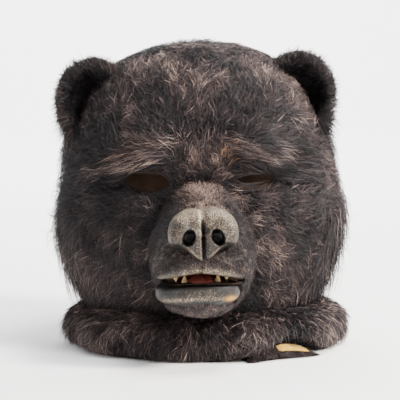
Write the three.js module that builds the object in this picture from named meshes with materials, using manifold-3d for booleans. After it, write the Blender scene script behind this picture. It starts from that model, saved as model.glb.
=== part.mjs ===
// A pull-over bear mask: a hollow latex head with a snout, coated in long black fur, with a
// moulded nose, lips, teeth and ears, standing on a wide fur collar that is backed with cream cloth.
// Millimetres, +Z up. The face looks along -Y. Left and right are the wearer's: left is +X.

import * as THREE from "three";
import { mergeVertices } from "three/addons/utils/BufferGeometryUtils.js";
import Module from "manifold-3d";

const wasm = await Module();
wasm.setup();

// Head
const HEAD_WIDTH = 240; // latex head, side to side
const HEAD_FRONT = 103; // from the neck's axis to the forehead
const HEAD_BACK = 120; // from the neck's axis to the back of the head
const HEAD_HEIGHT = 294; // from the table to the latex crown
const HEAD_LEAN = 2; // degrees that the soft head leans to the wearer's right on its collar
const HEAD_SHIFT = -1; // how far the neck stands to the wearer's left of the collar's middle; below 0 it is to the right
const LATEX_WALL = 3;
const SEAT_GAP = 0.3; // left between pieces that touch

// Snout
const SNOUT_ROOT = 60; // from the neck's axis to where the snout starts, inside the head
const SNOUT_FRONT = 176; // from the neck's axis to the snout's front wall
const SNOUT_WIDTH = 86;
const SNOUT_HEIGHT = 120;
const SNOUT_AXIS = 112; // height of the snout's middle above the table
const SNOUT_TAPER = 0.3; // how much narrower the bridge is than the snout's middle
const SNOUT_SQUARE = 2.4; // 2 is an ellipse, more is boxier

// Nose
const NOSE_WIDTH = 64;
const NOSE_HEIGHT = 48;
const NOSE_DEPTH = 34;
const NOSE_STANDS_OUT = 16; // how far the nose's tip stands before the snout's front wall
const NOSE_TIP = SNOUT_FRONT + NOSE_STANDS_OUT;
const NOSE_AXIS = 131; // height of the nose's middle above the table
const NOSE_SHAPE = { square: 2.4, pointed: 0.62, point: 1.12, leansBack: 7 };
const NOSTRIL = { width: 11, depth: 9, height: 15, spacing: 27, tilt: 24 };
const SLIT = { width: 20, depth: 6, height: 3.6, spacing: 47, below: 7.5 }; // beside each nostril
const PHILTRUM = { width: 3, depth: 4, height: 52 }; // the groove down the nose's middle

// Mouth
const MOUTH_AXIS = 87; // height of the mouth's line above the table
const MOUTH_WIDTH = 87;
const MOUTH_OPEN = 9; // height of the gap between the lips at the middle
const HANGS = { upperLip: 3, gap: 5, lowerLip: 7 }; // how far the soft mouth sags to the wearer's right
const MOUTH_DEPTH = 36; // how far back from the snout's front wall the gap runs
const MOUTH_ARCH = {
  upper: { corner: -0.4, arch: 1.95 },
  lower: { corner: -0.65, arch: 0.15 },
}; // the curves of both lips' edges about the mouth's line, in shares of MOUTH_OPEN
const LIP_LOBE = { width: 53, depth: 54, height: 30, spacing: 35, standsOut: 11, above: 11 };
const LOWER_LIP = { width: 74, depth: 50, height: 21, standsOut: 0, below: 12 };
const MOUTH_POCKET = { width: 84, depth: 80, height: 40, wall: 2, middle: 36, open: 16 };
const TONGUE = { width: 27, length: 46, height: 15, back: 28, below: 9 };

// Eyes and ears
const EYE_SPACING = 101;
const EYE_WIDTH = 41;
const EYE_HEIGHT = 18;
const EYE_AXIS = 172; // height of the eye openings above the table
const EAR_SPACING = 200; // between the middles of the two ears
const EAR_AXIS = HEAD_HEIGHT - 48; // height of the ears' middles above the table
const EAR_WIDTH = 66;
const EAR_HEIGHT = 76;
const EAR_THICKNESS = 28;
const EAR_FORWARD = 22; // how far the ears stand before the neck's axis
const EAR_HOLLOW = { width: 36, height: 50, depth: 18 };
const EAR_LOCK = { length: 13, width: 18, stands: 9, count: 6, first: -40, last: 150 };

// Fur
const SHORT_PILE = 12; // fur on the forehead and crown
const SNOUT_NAP = 3; // short hair on the bridge, the snout's sides and the chin
const BODY_SHARE = 0.66; // how much of the pile is a dense body under the locks' tips
const LOCK_ROOT = 0.8; // how deep a lock is rooted, as a share of the body's thickness
const LOCK_LIFT = 0.3; // how far a lock's tip rises off its root, as a share of the pile
const LOCK_REACH = 1.9; // a lock's length for each millimetre of pile
const LOCK_DROOP = 0.75; // how strongly long fur hangs
const LOCK_WIDTH = 42;
const FACE_BARE = { turn: 44, below: 0.64 }; // no long locks on the face inside this turn and height
const BARE_RIM = 6; // how far behind the nose's back the nap ends
const LOCKS_OVER_COLLAR = 10; // height of the head's lowest lock tips over the collar

// Collar
const COLLAR_WIDTH = 282;
const COLLAR_DEPTH = 256;
const COLLAR_HEIGHT = 45;
const COLLAR_SEAM = 80; // half width of the collar's inner edge, before the neck trims it
const COLLAR_SHIFT = 3; // how far the collar's middle lies behind the neck's axis
const COLLAR_PILE = 12; // fur and cloth together
const COLLAR_GATHER = 3.2; // depth of the gathers at the rim
const COLLAR_GATHERS = 9;
const BACKING_THICKNESS = 1.8;
const COLLAR_LOCK = { length: 27, lift: 3 };
const HEM_LIFT = { height: 17, turn: 36, spread: 17 }; // where the hem stands off the table
const TURNED_HEM = { turn: 33, spread: 17, inner: 0.6, outer: 0.9, front: 6, back: 19, fade: 1.2, below: 4 };

// How finely the forms are faceted
const HEAD_SIDES = 22;
const SNOUT_SIDES = 14;
const COLLAR_SIDES = 26;
const NOSE_SIDES = 16;
const FRONT_CROWDING = 0.32; // how far the head's facets crowd towards the face
const WELD = 1e-4;
const SLIVER = 0.09; // facets thinner than this are merged away
const FAR = 600; // reach of a cutting block, more than any piece

const rad = THREE.MathUtils.degToRad;
const deg = THREE.MathUtils.radToDeg;
const FRONT = rad(-90);
const BACKWARD = new THREE.Vector3(0, 1, 0);

// The head from below the table to the crown: height as a share of HEAD_HEIGHT,
// girth as a share of the head's half width
const HEAD_ROWS = [
  { height: -0.05, girth: 0 },
  { height: -0.05, girth: 0.72 },
  { height: 0.1, girth: 0.74 },
  { height: 0.21, girth: 0.84 },
  { height: 0.33, girth: 0.94 },
  { height: 0.45, girth: 0.99 },
  { height: 0.57, girth: 1 },
  { height: 0.68, girth: 0.985 },
  { height: 0.78, girth: 0.93 },
  { height: 0.87, girth: 0.81 },
  { height: 0.94, girth: 0.63 },
  { height: 0.985, girth: 0.35 },
  { height: 1, girth: 0 },
];

// Swells and dents of the face. turn: degrees to each side of the front; spread: its half width
// in degrees; height and tall: middle and half height as shares of HEAD_HEIGHT; rise: millimetres
const FACE_RELIEF = [
  { part: "brow", turn: 27, spread: 15, height: 0.67, tall: 0.055, rise: 9 },
  { part: "eye socket", turn: 30, spread: 13, height: 0.585, tall: 0.05, rise: -10 },
  { part: "forehead crease", turn: 0, spread: 9, height: 0.72, tall: 0.09, rise: -6 },
  { part: "cheek", turn: 62, spread: 24, height: 0.45, tall: 0.12, rise: 7 },
];

// Where the fur is longer than SHORT_PILE, in the same columns; more: millimetres of extra pile
const LONG_FUR = [
  { part: "cheek ruff", turn: 90, spread: 45, height: 0.38, tall: 0.3, more: 23 },
  { part: "back of the head", turn: 180, spread: 50, height: 0.32, tall: 0.3, more: 14 },
  { part: "throat", turn: 0, spread: 40, height: 0.15, tall: 0.12, more: 8 },
];

// The snout from its root to its front: reach as a share of its length, width of its half
// width, top and bottom of its half height
const SNOUT_ROWS = [
  { reach: 0, width: 0, top: 0, bottom: 0 },
  { reach: 0, width: 1.22, top: 1.02, bottom: 1 },
  { reach: 0.35, width: 1.09, top: 0.97, bottom: 1.03 },
  { reach: 0.62, width: 0.98, top: 0.84, bottom: 1.05 },
  { reach: 0.82, width: 0.89, top: 0.73, bottom: 0.96 },
  { reach: 0.94, width: 0.75, top: 0.6, bottom: 0.7 },
  { reach: 1, width: 0.5, top: 0.4, bottom: 0.35 },
  { reach: 1, width: 0, top: 0, bottom: 0 },
];

// The nose from its back to its tip, in shares of its depth and of its half width and height
const NOSE_ROWS = [
  { reach: 0, size: 0 },
  { reach: 0, size: 0.95 },
  { reach: 0.5, size: 1 },
  { reach: 0.82, size: 0.94 },
  { reach: 0.96, size: 0.78 },
  { reach: 1, size: 0.5 },
  { reach: 1, size: 0 },
];

// Teeth by pair. across: distance from the middle; back: behind the snout's front wall;
// tip: the tip's height above the mouth's line; girth: at the root; grows: 1 up, -1 down
const TEETH = [
  { name: "upper_canine", across: 24, back: 18, tip: -2.5, girth: 11, grows: -1 },
  { name: "lower_canine", across: 16, back: 18, tip: 4, girth: 9, grows: 1 },
];

// A tooth from its root to its tip: along its length, and its girth there
const TOOTH_ROWS = [
  { along: 0, girth: 0 },
  { along: 0, girth: 1.1 },
  { along: 0.45, girth: 0.95 },
  { along: 0.8, girth: 0.55 },
  { along: 1, girth: 0 },
];

// The collar's outer surface from the hem to the neck seam: reach as a share of the way from
// the seam to the rim, height as a share of COLLAR_HEIGHT
const COLLAR_ROWS = [
  { reach: 0.9, height: 0 },
  { reach: 1, height: 0.4 },
  { reach: 0.87, height: 0.82 },
  { reach: 0.5, height: 1 },
  { reach: 0, height: 0.94 },
];

// Rings of locks round the head, from the crown down: height as a share of HEAD_HEIGHT
const HEAD_LOCK_RINGS = [
  { height: 0.93, count: 3 },
  { height: 0.82, count: 6 },
  { height: 0.68, count: 8 },
  { height: 0.54, count: 10 },
  { height: 0.41, count: 11 },
  { height: 0.3, count: 12 },
];

// Rings of locks round the collar, rooted in the columns of COLLAR_ROWS; steep: how far they
// drop for each millimetre that they reach out
const COLLAR_LOCK_RINGS = [
  { reach: 0.65, height: 0.85, steep: 0.15, count: 9 },
  { reach: 0.88, height: 0.54, steep: 1.5, count: 13 },
];

// A lock from its root to its tip: along its length, and its girth and thickness there
const LOCK_ROWS = [
  { along: 0, girth: 0 },
  { along: 0, girth: 0.8 },
  { along: 0.5, girth: 0.85 },
  { along: 1, girth: 0 },
];
const LOCK_THICKNESS = 0.36; // of its width

// Materials
const LATEX_BLACK = { color: 0x2a2624, roughness: 0.75, metalness: 0 };
const FUR_BLACK = { color: 0x1d191b, roughness: 0.85, metalness: 0 };
const LATEX_GREY = { color: 0x6b655e, roughness: 0.5, metalness: 0 };
const MOUTH_RED = { color: 0x4a1412, roughness: 0.4, metalness: 0 };
const TONGUE_RED = { color: 0x7a2a30, roughness: 0.35, metalness: 0 };
const TOOTH_IVORY = { color: 0xd9b98a, roughness: 0.35, metalness: 0 };
const CLOTH_CREAM = { color: 0xe6cf9c, roughness: 0.9, metalness: 0 };

// A closed three.js geometry as a solid that can be joined and cut
function solidOf(geometry) {
  geometry.deleteAttribute("normal");
  geometry.deleteAttribute("uv");
  const merged = mergeVertices(geometry, WELD);
  return new wasm.Manifold(
    new wasm.Mesh({
      numProp: 3,
      vertProperties: merged.getAttribute("position").array,
      triVerts: new Uint32Array(merged.index.array),
    }),
  );
}

// The largest body of a solid as a named mesh; a cut can leave crumbs of a lock behind
function meshOf(name, solid, finish) {
  const bodies = solid.decompose();
  const largest = bodies.reduce((a, b) => (b.volume() > a.volume() ? b : a));
  const cut = largest.simplify(SLIVER).getMesh();
  const geometry = new THREE.BufferGeometry();
  geometry.setAttribute("position", new THREE.BufferAttribute(cut.vertProperties, cut.numProp));
  geometry.setIndex(new THREE.BufferAttribute(cut.triVerts, 1));
  geometry.computeVertexNormals();
  const mesh = new THREE.Mesh(geometry, new THREE.MeshStandardMaterial(finish));
  mesh.name = name;
  return mesh;
}

// A closed form through the rows of a table: place(angle, row) gives each point of a row's ring,
// and the first and last rows shrink to a point
function loft(sides, rows, place) {
  const geometry = new THREE.SphereGeometry(1, sides, rows.length - 1);
  const position = geometry.getAttribute("position");
  const uv = geometry.getAttribute("uv");
  for (let i = 0; i < position.count; i++) {
    const at = Math.round(uv.getY(i) * (rows.length - 1));
    const pole = at === 0 || at === rows.length - 1;
    const point = place(pole ? 0 : (uv.getX(i) % 1) * 2 * Math.PI, rows[at]);
    position.setXYZ(i, point.x, point.y, point.z);
  }
  return solidOf(geometry);
}

// A ring with a closed section: place(angle, corner) gives each corner of the section
function ringOf(sides, corners, place) {
  const geometry = new THREE.TorusGeometry(2, 1, corners.length, sides);
  const position = geometry.getAttribute("position");
  const uv = geometry.getAttribute("uv");
  for (let i = 0; i < position.count; i++) {
    const corner = corners[Math.round(uv.getY(i) * corners.length) % corners.length];
    const point = place((uv.getX(i) % 1) * 2 * Math.PI, corner);
    position.setXYZ(i, point.x, point.y, point.z);
  }
  return solidOf(geometry);
}

// An ellipsoid with the given full sizes, as [across, deep, high]
function ellipsoid(sizes, centre, sides = 14, rings = 8) {
  const geometry = new THREE.SphereGeometry(0.5, sides, rings);
  geometry.rotateX(rad(90));
  geometry.scale(...sizes);
  geometry.translate(...centre);
  return solidOf(geometry);
}

function block(low, high) {
  const size = high.map((value, i) => value - low[i]);
  const geometry = new THREE.BoxGeometry(...size);
  geometry.translate(...high.map((value, i) => (value + low[i]) / 2));
  return solidOf(geometry);
}

const join = (solids) => wasm.Manifold.union(solids);

// Cosine or sine pulled towards a box as power rises above 2
const squared = (value, power) => Math.sign(value) * Math.abs(value) ** (2 / power);

// 1 at the middle of a bump, falling smoothly to 0 away from it
const bump = (distance, spread) => Math.exp(-((distance / spread) ** 2));

// Degrees from the front, -180 to 180, positive to the wearer's left
const sideOf = (angle) => THREE.MathUtils.euclideanModulo(deg(angle - FRONT) + 180, 360) - 180;

// Degrees from the front, 0 to 180, the same on both sides
const turnOf = (angle) => Math.abs(sideOf(angle));

function sumOf(table, column, angle, height) {
  return table.reduce(
    (sum, row) =>
      sum +
      row[column] *
        bump(turnOf(angle) - row.turn, row.spread) *
        bump(height - row.height, row.tall),
    0,
  );
}

// Length of the fur at a place on the head
const pileAt = (angle, height) => SHORT_PILE + sumOf(LONG_FUR, "more", angle, height);

// Girth of the head at a height share, straight between the rows of HEAD_ROWS
function girthAt(height) {
  const upper = HEAD_ROWS.findIndex((row, i) => i > 1 && row.height >= height);
  const [a, b] = [HEAD_ROWS[upper - 1], HEAD_ROWS[upper]];
  return THREE.MathUtils.mapLinear(height, a.height, b.height, a.girth, b.girth);
}

// Outward slope of the head's profile at a height share, as [out, up]
function slopeAt(height) {
  const step = 0.03;
  const [low, high] = [Math.max(height - step, 0), Math.min(height + step, 1)];
  const out = (high - low) * HEAD_HEIGHT;
  const up = ((girthAt(low) - girthAt(high)) * HEAD_WIDTH) / 2;
  return [out / Math.hypot(out, up), up / Math.hypot(out, up)];
}

// A point of the head, grown outwards by some millimetres
function headPoint(angle, row, grow) {
  const [out, up] = slopeAt(Math.max(row.height, 0));
  const relief = row.girth * sumOf(FACE_RELIEF, "rise", angle, row.height);
  const radius = row.girth > 0 ? (row.girth * HEAD_WIDTH) / 2 + grow * out + relief : 0;
  const depth = Math.sin(angle) < 0 ? HEAD_FRONT : HEAD_BACK;
  const flatten = (depth + grow) / (HEAD_WIDTH / 2 + grow);
  return new THREE.Vector3(
    Math.cos(angle) * radius,
    Math.sin(angle) * radius * flatten,
    row.height * HEAD_HEIGHT + grow * (row.height > 0 ? up : 0),
  );
}

// The head grown by growAt(angle, height share); its facets crowd towards the face
function headForm(growAt) {
  return loft(HEAD_SIDES, HEAD_ROWS, (around, row) => {
    const turn = around - Math.PI;
    const angle = FRONT + turn - FRONT_CROWDING * Math.sin(turn);
    return headPoint(angle, row, growAt(angle, row.height));
  });
}

function snoutForm(grow) {
  const length = SNOUT_FRONT - SNOUT_ROOT;
  return loft(SNOUT_SIDES, SNOUT_ROWS, (angle, row) => {
    const across = squared(Math.cos(angle), SNOUT_SQUARE);
    const upward = squared(Math.sin(angle), SNOUT_SQUARE);
    const grown = row.width > 0 ? grow : 0;
    const half = (row.width * SNOUT_WIDTH) / 2 + grown;
    const reach = upward > 0 ? row.top : row.bottom;
    const high = (reach * SNOUT_HEIGHT) / 2 + grown;
    return new THREE.Vector3(
      across * half * (1 - SNOUT_TAPER * Math.max(upward, 0)),
      -(SNOUT_ROOT + row.reach * (length + grow)),
      SNOUT_AXIS + upward * high,
    );
  });
}

// The hollow between the lips: a lens that arches over the middle, run back from the front
function mouthGap() {
  const half = MOUTH_WIDTH / 2;
  const lens = new THREE.Shape();
  const [upper, lower] = [MOUTH_ARCH.upper, MOUTH_ARCH.lower].map(({ corner, arch }) => ({
    corner: corner * MOUTH_OPEN,
    arch: arch * MOUTH_OPEN,
  }));
  lens.moveTo(-half, lower.corner);
  lens.quadraticCurveTo(0, lower.arch, half, lower.corner);
  lens.lineTo(half, upper.corner);
  lens.quadraticCurveTo(0, upper.arch, -half, upper.corner);
  lens.closePath();
  const depth = FAR;
  const geometry = new THREE.ExtrudeGeometry(lens, { depth, bevelEnabled: false, curveSegments: 12 });
  geometry.rotateX(rad(90));
  geometry.translate(-HANGS.gap, -(SNOUT_FRONT - MOUTH_DEPTH), MOUTH_AXIS);
  return solidOf(geometry);
}

// One elliptical opening through the face for each eye, run in from the front
function eyeOpenings() {
  const openings = [-1, 1].map((side) => {
    const geometry = new THREE.CylinderGeometry(0.5, 0.5, 1, 16);
    geometry.scale(EYE_WIDTH, FAR, EYE_HEIGHT);
    geometry.translate((side * EYE_SPACING) / 2, -FAR / 2, EYE_AXIS);
    return solidOf(geometry);
  });
  return join(openings);
}

// The nose pad: a broad dome above, drawn in to a point below, and leaning back at the top
function noseForm(grow) {
  const { square, pointed, point, leansBack } = NOSE_SHAPE;
  const [half, high] = [NOSE_WIDTH / 2, NOSE_HEIGHT / 2];
  return loft(NOSE_SIDES, NOSE_ROWS, (angle, row) => {
    const across = squared(Math.cos(angle), square);
    const upward = squared(Math.sin(angle), square);
    const grown = row.size > 0 ? grow : 0;
    const drawnIn = 1 - pointed * Math.max(-upward, 0) ** 1.4;
    const reach = NOSE_TIP - NOSE_DEPTH + row.reach * (NOSE_DEPTH + grow);
    return new THREE.Vector3(
      across * drawnIn * (row.size * half + grown),
      leansBack * Math.max(upward, 0) * row.reach - reach,
      NOSE_AXIS + upward * (row.size * high * (upward < 0 ? point : 1) + grown),
    );
  });
}

// A nostril and the slit that runs from it to the edge of the nose, on one side
function nostril(side) {
  const cuts = [NOSTRIL, { ...SLIT, tilt: NOSTRIL.tilt }].map((cut) =>
    ellipsoid([cut.width, 2 * cut.depth, cut.height], [0, 0, 0], 10, 6)
      .rotate([0, side * cut.tilt, 0])
      .translate([(side * cut.spacing) / 2, -NOSE_TIP, NOSE_AXIS - (cut.below ?? 0)]),
  );
  return join(cuts);
}

function nose() {
  const { width, depth, height } = PHILTRUM;
  const below = (NOSE_HEIGHT / 2) * NOSE_SHAPE.point - height / 2;
  const philtrum = ellipsoid([width, 2 * depth, height], [0, -NOSE_TIP, NOSE_AXIS - below], 8, 8);
  return noseForm(0)
    .subtract(join([nostril(-1), nostril(1), philtrum]))
    .subtract(snoutForm(SEAT_GAP));
}

// Both lobes of the upper lip, which meet under the nose
function upperLipForm(grow) {
  const { width, depth, height, spacing, standsOut, above } = LIP_LOBE;
  const middle = SNOUT_FRONT + standsOut - depth / 2;
  return join(
    [-1, 1].map((side) =>
      ellipsoid(
        [width + 2 * grow, depth + 2 * grow, height + 2 * grow],
        [(side * spacing) / 2 - HANGS.upperLip, -middle, MOUTH_AXIS + above],
      ),
    ),
  );
}

function lowerLipForm(grow) {
  const { width, depth, height, standsOut, below } = LOWER_LIP;
  const middle = SNOUT_FRONT + standsOut - depth / 2;
  return ellipsoid(
    [width + 2 * grow, depth + 2 * grow, height + 2 * grow],
    [-HANGS.lowerLip, -middle, MOUTH_AXIS - below],
  );
}

const upperLip = () =>
  upperLipForm(0).subtract(join([snoutForm(SEAT_GAP), noseForm(SEAT_GAP), mouthGap()]));

const lowerLip = () => lowerLipForm(0).subtract(join([snoutForm(SEAT_GAP), mouthGap()]));

// The red pocket behind the lips: a cup, open towards the front
const pocketForm = (grow) =>
  ellipsoid(
    [MOUTH_POCKET.width, MOUTH_POCKET.depth, MOUTH_POCKET.height].map((size) => size + 2 * grow),
    [0, MOUTH_POCKET.middle - SNOUT_FRONT, MOUTH_AXIS],
    12,
    6,
  );

function mouthPocket() {
  const open = MOUTH_POCKET.open - SNOUT_FRONT;
  return pocketForm(0)
    .subtract(pocketForm(-MOUTH_POCKET.wall))
    .subtract(block([-FAR, -FAR, -FAR], [FAR, open, FAR]))
    .intersect(snoutForm(-LATEX_WALL - SEAT_GAP));
}

const insidePocket = (solid) =>
  solid
    .intersect(pocketForm(-MOUTH_POCKET.wall - SEAT_GAP))
    .intersect(snoutForm(-LATEX_WALL - SEAT_GAP));

function tongue() {
  const { width, length, height, back, below } = TONGUE;
  const teeth = TEETH.flatMap((kind) => [tooth(kind, -1, SEAT_GAP), tooth(kind, 1, SEAT_GAP)]);
  return insidePocket(
    ellipsoid([width, length, height], [0, back - SNOUT_FRONT, MOUTH_AXIS - below]),
  ).subtract(join(teeth));
}

function tooth(kind, side, grow = 0) {
  const root = MOUTH_POCKET.height / 2;
  const length = root + kind.grows * kind.tip;
  const form = loft(8, TOOTH_ROWS, (angle, row) => {
    const half = row.girth > 0 ? (row.girth * kind.girth) / 2 + grow : 0;
    return new THREE.Vector3(
      side * kind.across + Math.cos(angle) * half,
      kind.back - SNOUT_FRONT + kind.grows * Math.sin(angle) * half,
      MOUTH_AXIS + kind.grows * (row.along * length - root),
    );
  });
  return insidePocket(form);
}

// An ear: a furry cup that stands on the head and opens forwards
function earForm(side, grow) {
  return ellipsoid(
    [EAR_WIDTH, EAR_THICKNESS, EAR_HEIGHT].map((size) => size + 2 * grow),
    [(side * EAR_SPACING) / 2, -EAR_FORWARD, EAR_AXIS],
    14,
    8,
  );
}

function ear(side) {
  const middle = new THREE.Vector3((side * EAR_SPACING) / 2, -EAR_FORWARD, EAR_AXIS);
  const hollow = ellipsoid(
    [EAR_HOLLOW.width, 2 * EAR_HOLLOW.depth, EAR_HOLLOW.height],
    [middle.x, middle.y - EAR_THICKNESS / 2, middle.z],
    14,
    8,
  );
  const locks = [];
  for (let i = 0; i < EAR_LOCK.count; i++) {
    const turn = rad(THREE.MathUtils.mapLinear(i, 0, EAR_LOCK.count - 1, EAR_LOCK.first, EAR_LOCK.last));
    const out = new THREE.Vector3(side * Math.cos(turn), 0, Math.sin(turn));
    const root = middle.clone();
    root.x += (out.x * (EAR_WIDTH - EAR_LOCK.length)) / 2;
    root.z += (out.z * (EAR_HEIGHT - EAR_LOCK.length)) / 2;
    const lay = out.clone().add(new THREE.Vector3(side * 0.25, 0, -0.35)).normalize();
    locks.push(lock(root, BACKWARD, lay, EAR_LOCK.length, EAR_LOCK.width, 0));
  }
  const clearOfCoat = join(locks).subtract(coatBody(SEAT_GAP));
  return join([earForm(side, 0), clearOfCoat])
    .subtract(join([headForm(() => SEAT_GAP), hollow]));
}

// One lock of fur: a flat tapering tuft from its root along its lay, its tip lifted off the body
function lock(root, normal, lay, length, width, lift) {
  const across = new THREE.Vector3().crossVectors(normal, lay).normalize();
  const rise = new THREE.Vector3().crossVectors(lay, across).normalize();
  return loft(3, LOCK_ROWS, (angle, row) => {
    const half = (row.girth * width) / 2;
    return root
      .clone()
      .addScaledVector(lay, row.along * length)
      .addScaledVector(normal, row.along ** 2 * lift)
      .addScaledVector(across, -Math.sin(angle) * half)
      .addScaledVector(rise, Math.cos(angle) * half * LOCK_THICKNESS);
  });
}

// Fur lies away from the nose over the head, and hangs where it is long
function layAt(point, normal, pile) {
  const away = point.clone().sub(new THREE.Vector3(0, -SNOUT_FRONT, NOSE_AXIS));
  away.addScaledVector(normal, -away.dot(normal)).normalize();
  const hang = (LOCK_DROOP * (pile - SHORT_PILE)) / SHORT_PILE;
  away.z -= hang;
  return away.addScaledVector(normal, -away.dot(normal)).normalize();
}

function headLocks() {
  const locks = [];
  HEAD_LOCK_RINGS.forEach(({ height, count }, ring) => {
    for (let i = 0; i < count; i++) {
      const angle = FRONT + (2 * Math.PI * (i + (ring % 2) / 2)) / count;
      if (turnOf(angle) < FACE_BARE.turn && height < FACE_BARE.below) continue;
      const row = { height, girth: girthAt(height) };
      const pile = pileAt(angle, height);
      const [out, up] = slopeAt(height);
      const normal = new THREE.Vector3(Math.cos(angle) * out, Math.sin(angle) * out, up);
      const root = headPoint(angle, row, pile * BODY_SHARE * LOCK_ROOT);
      const lay = layAt(root, normal, pile);
      const length = pile * LOCK_REACH;
      locks.push(lock(root, normal, lay, length, LOCK_WIDTH, pile * LOCK_LIFT));
    }
  });
  return locks;
}

// The dense body of the coat, without its locks
const coatBody = (grow) =>
  headForm((angle, height) => pileAt(angle, height) * BODY_SHARE + grow);

// The coat: a dense body with locks over the head, and a short nap on the snout. It stops on
// the collar, round the eyes and ears, and at the bare nose and lips.
function headFur() {
  const ears = join([earForm(-1, EAR_LOCK.stands), earForm(1, EAR_LOCK.stands)]);
  const overCollar = block([-FAR, -FAR, -FAR], [FAR, FAR, COLLAR_HEIGHT + LOCKS_OVER_COLLAR]);
  const locks = join(headLocks()).subtract(join([ears, overCollar]));
  const bareFace = block(
    [-FAR, -FAR, MOUTH_AXIS - LOWER_LIP.below - LOWER_LIP.height / 2],
    [FAR, NOSE_DEPTH + BARE_RIM - NOSE_TIP, FAR],
  );
  return join([coatBody(0), snoutForm(SNOUT_NAP), locks])
    .subtract(join([headForm(() => SEAT_GAP), snoutForm(SEAT_GAP)]))
    .subtract(join([noseForm(SEAT_GAP), upperLipForm(SEAT_GAP), lowerLipForm(SEAT_GAP)]))
    .subtract(join([earForm(-1, SEAT_GAP), earForm(1, SEAT_GAP)]))
    .subtract(join([eyeOpenings(), bareFace, mouthGap()]))
    .subtract(join([underTable(), upright(collarBulk(-SEAT_GAP, COLLAR_PILE))]));
}

// A solid of the head as the collar sees it, and one of the collar as the leaning head sees it
const leaned = (solid) => solid.rotate([0, -HEAD_LEAN, 0]).translate([HEAD_SHIFT, 0, 0]);
const upright = (solid) => solid.translate([-HEAD_SHIFT, 0, 0]).rotate([0, HEAD_LEAN, 0]);

const underTable = () => upright(block([-FAR, -FAR, -FAR], [FAR, FAR, 0]));

// The latex head and snout, hollow and open at the neck, eyes and mouth
function headShell() {
  const outer = join([headForm(() => 0), snoutForm(0)]);
  const inner = join([headForm(() => -LATEX_WALL), snoutForm(-LATEX_WALL)]);
  return outer.subtract(join([inner, eyeOpenings(), mouthGap(), underTable()]));
}

// The collar's outline in plan is an ellipse with gathers that deepen towards the rim
function collarPoint(angle, reach, height) {
  const across = Math.cos(angle);
  const deep = Math.sin(angle);
  const gather = COLLAR_GATHER * reach ** 3 * Math.sin(COLLAR_GATHERS * angle + across * 2);
  const radius = COLLAR_SEAM + reach * (COLLAR_WIDTH / 2 - COLLAR_SEAM) + gather;
  const level = height / COLLAR_HEIGHT;
  const leans = Math.sin(rad(HEAD_LEAN)) * across * radius * Math.max(1 - reach, 0) * level;
  const lift = HEM_LIFT.height * bump(sideOf(angle) - HEM_LIFT.turn, HEM_LIFT.spread);
  return new THREE.Vector3(
    across * radius,
    (deep * radius * COLLAR_DEPTH) / COLLAR_WIDTH + COLLAR_SHIFT,
    height + leans + lift * Math.max(1 - level, 0) * reach,
  );
}

// The rows of the collar's section, moved inwards by a depth and kept above the table
function collarSection(inwards) {
  const span = COLLAR_WIDTH / 2 - COLLAR_SEAM;
  const at = COLLAR_ROWS.map((row) => new THREE.Vector2(row.reach * span, row.height * COLLAR_HEIGHT));
  return at.map((point, i) => {
    const next = at[Math.min(i + 1, at.length - 1)];
    const last = at[Math.max(i - 1, 0)];
    const along = next.clone().sub(last).normalize();
    const moved = new THREE.Vector2(point.x - along.y * inwards, point.y + along.x * inwards);
    if (i === 0) moved.set(point.x - inwards, 0);
    return { reach: moved.x / span, height: moved.y };
  });
}

// All that lies under the collar's surface at some depth, down to the hem or some way below it
function collarBulk(depth, below = 0) {
  const section = collarSection(depth);
  const inside = { reach: -below / COLLAR_SEAM, height: -below };
  const corners = [...section, inside];
  if (below > 0) corners.unshift({ reach: section[0].reach, height: -below });
  return ringOf(COLLAR_SIDES, corners, (angle, corner) =>
    collarPoint(angle, corner.reach, corner.height),
  );
}

const collarWall = (from, to, below = 0) =>
  collarBulk(from, below).subtract(collarBulk(to, COLLAR_PILE));

function collarLocks() {
  const locks = [];
  COLLAR_LOCK_RINGS.forEach(({ reach, height, steep, count }, ring) => {
    for (let i = 0; i < count; i++) {
      const angle = (2 * Math.PI * (i + ring / 2)) / count;
      const root = collarPoint(angle, reach, height * COLLAR_HEIGHT);
      const out = new THREE.Vector3(Math.cos(angle), Math.sin(angle), 0);
      const lay = out.clone().setZ(-steep).normalize();
      const normal = out.clone().multiplyScalar(steep).setZ(1).normalize();
      locks.push(lock(root, normal, lay, COLLAR_LOCK.length, LOCK_WIDTH, COLLAR_LOCK.lift));
    }
  });
  return locks;
}

const aboveTable = (solid) => solid.subtract(block([-FAR, -FAR, -FAR], [FAR, FAR, 0]));
const roundNeck = (solid) => solid.subtract(leaned(headForm(() => SEAT_GAP)));

function collarFur() {
  const underneath = join([collarBulk(COLLAR_PILE), hemRamp(2 * SEAT_GAP + BACKING_THICKNESS)]);
  const locks = join(collarLocks()).subtract(underneath).subtract(leaned(coatBody(SEAT_GAP)));
  return roundNeck(aboveTable(join([collarWall(0, COLLAR_PILE), locks])));
}

const collarBacking = () =>
  roundNeck(
    aboveTable(
      collarWall(COLLAR_PILE + SEAT_GAP, COLLAR_PILE + SEAT_GAP + BACKING_THICKNESS),
    ),
  );

// Under the lifted edge the hem is turned in: a ramp that rises inwards and fades out at both
// ends, here raised over its slope
function hemRamp(raised) {
  const geometry = new THREE.BoxGeometry(1, 1, 1, 8, 1, 1);
  const position = geometry.getAttribute("position");
  for (let i = 0; i < position.count; i++) {
    const along = position.getX(i) * 2;
    const inwards = 0.5 + position.getY(i);
    const slope = THREE.MathUtils.lerp(TURNED_HEM.front, TURNED_HEM.back, inwards);
    const top = slope * Math.cos(along * TURNED_HEM.fade);
    const level = position.getZ(i) > 0 ? top + raised : 0;
    const angle = FRONT + rad(TURNED_HEM.turn + along * TURNED_HEM.spread);
    const point = collarPoint(
      angle,
      THREE.MathUtils.lerp(TURNED_HEM.outer, TURNED_HEM.inner, inwards),
      0,
    );
    position.setXYZ(i, point.x, point.y, level);
  }
  return solidOf(geometry);
}

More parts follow.
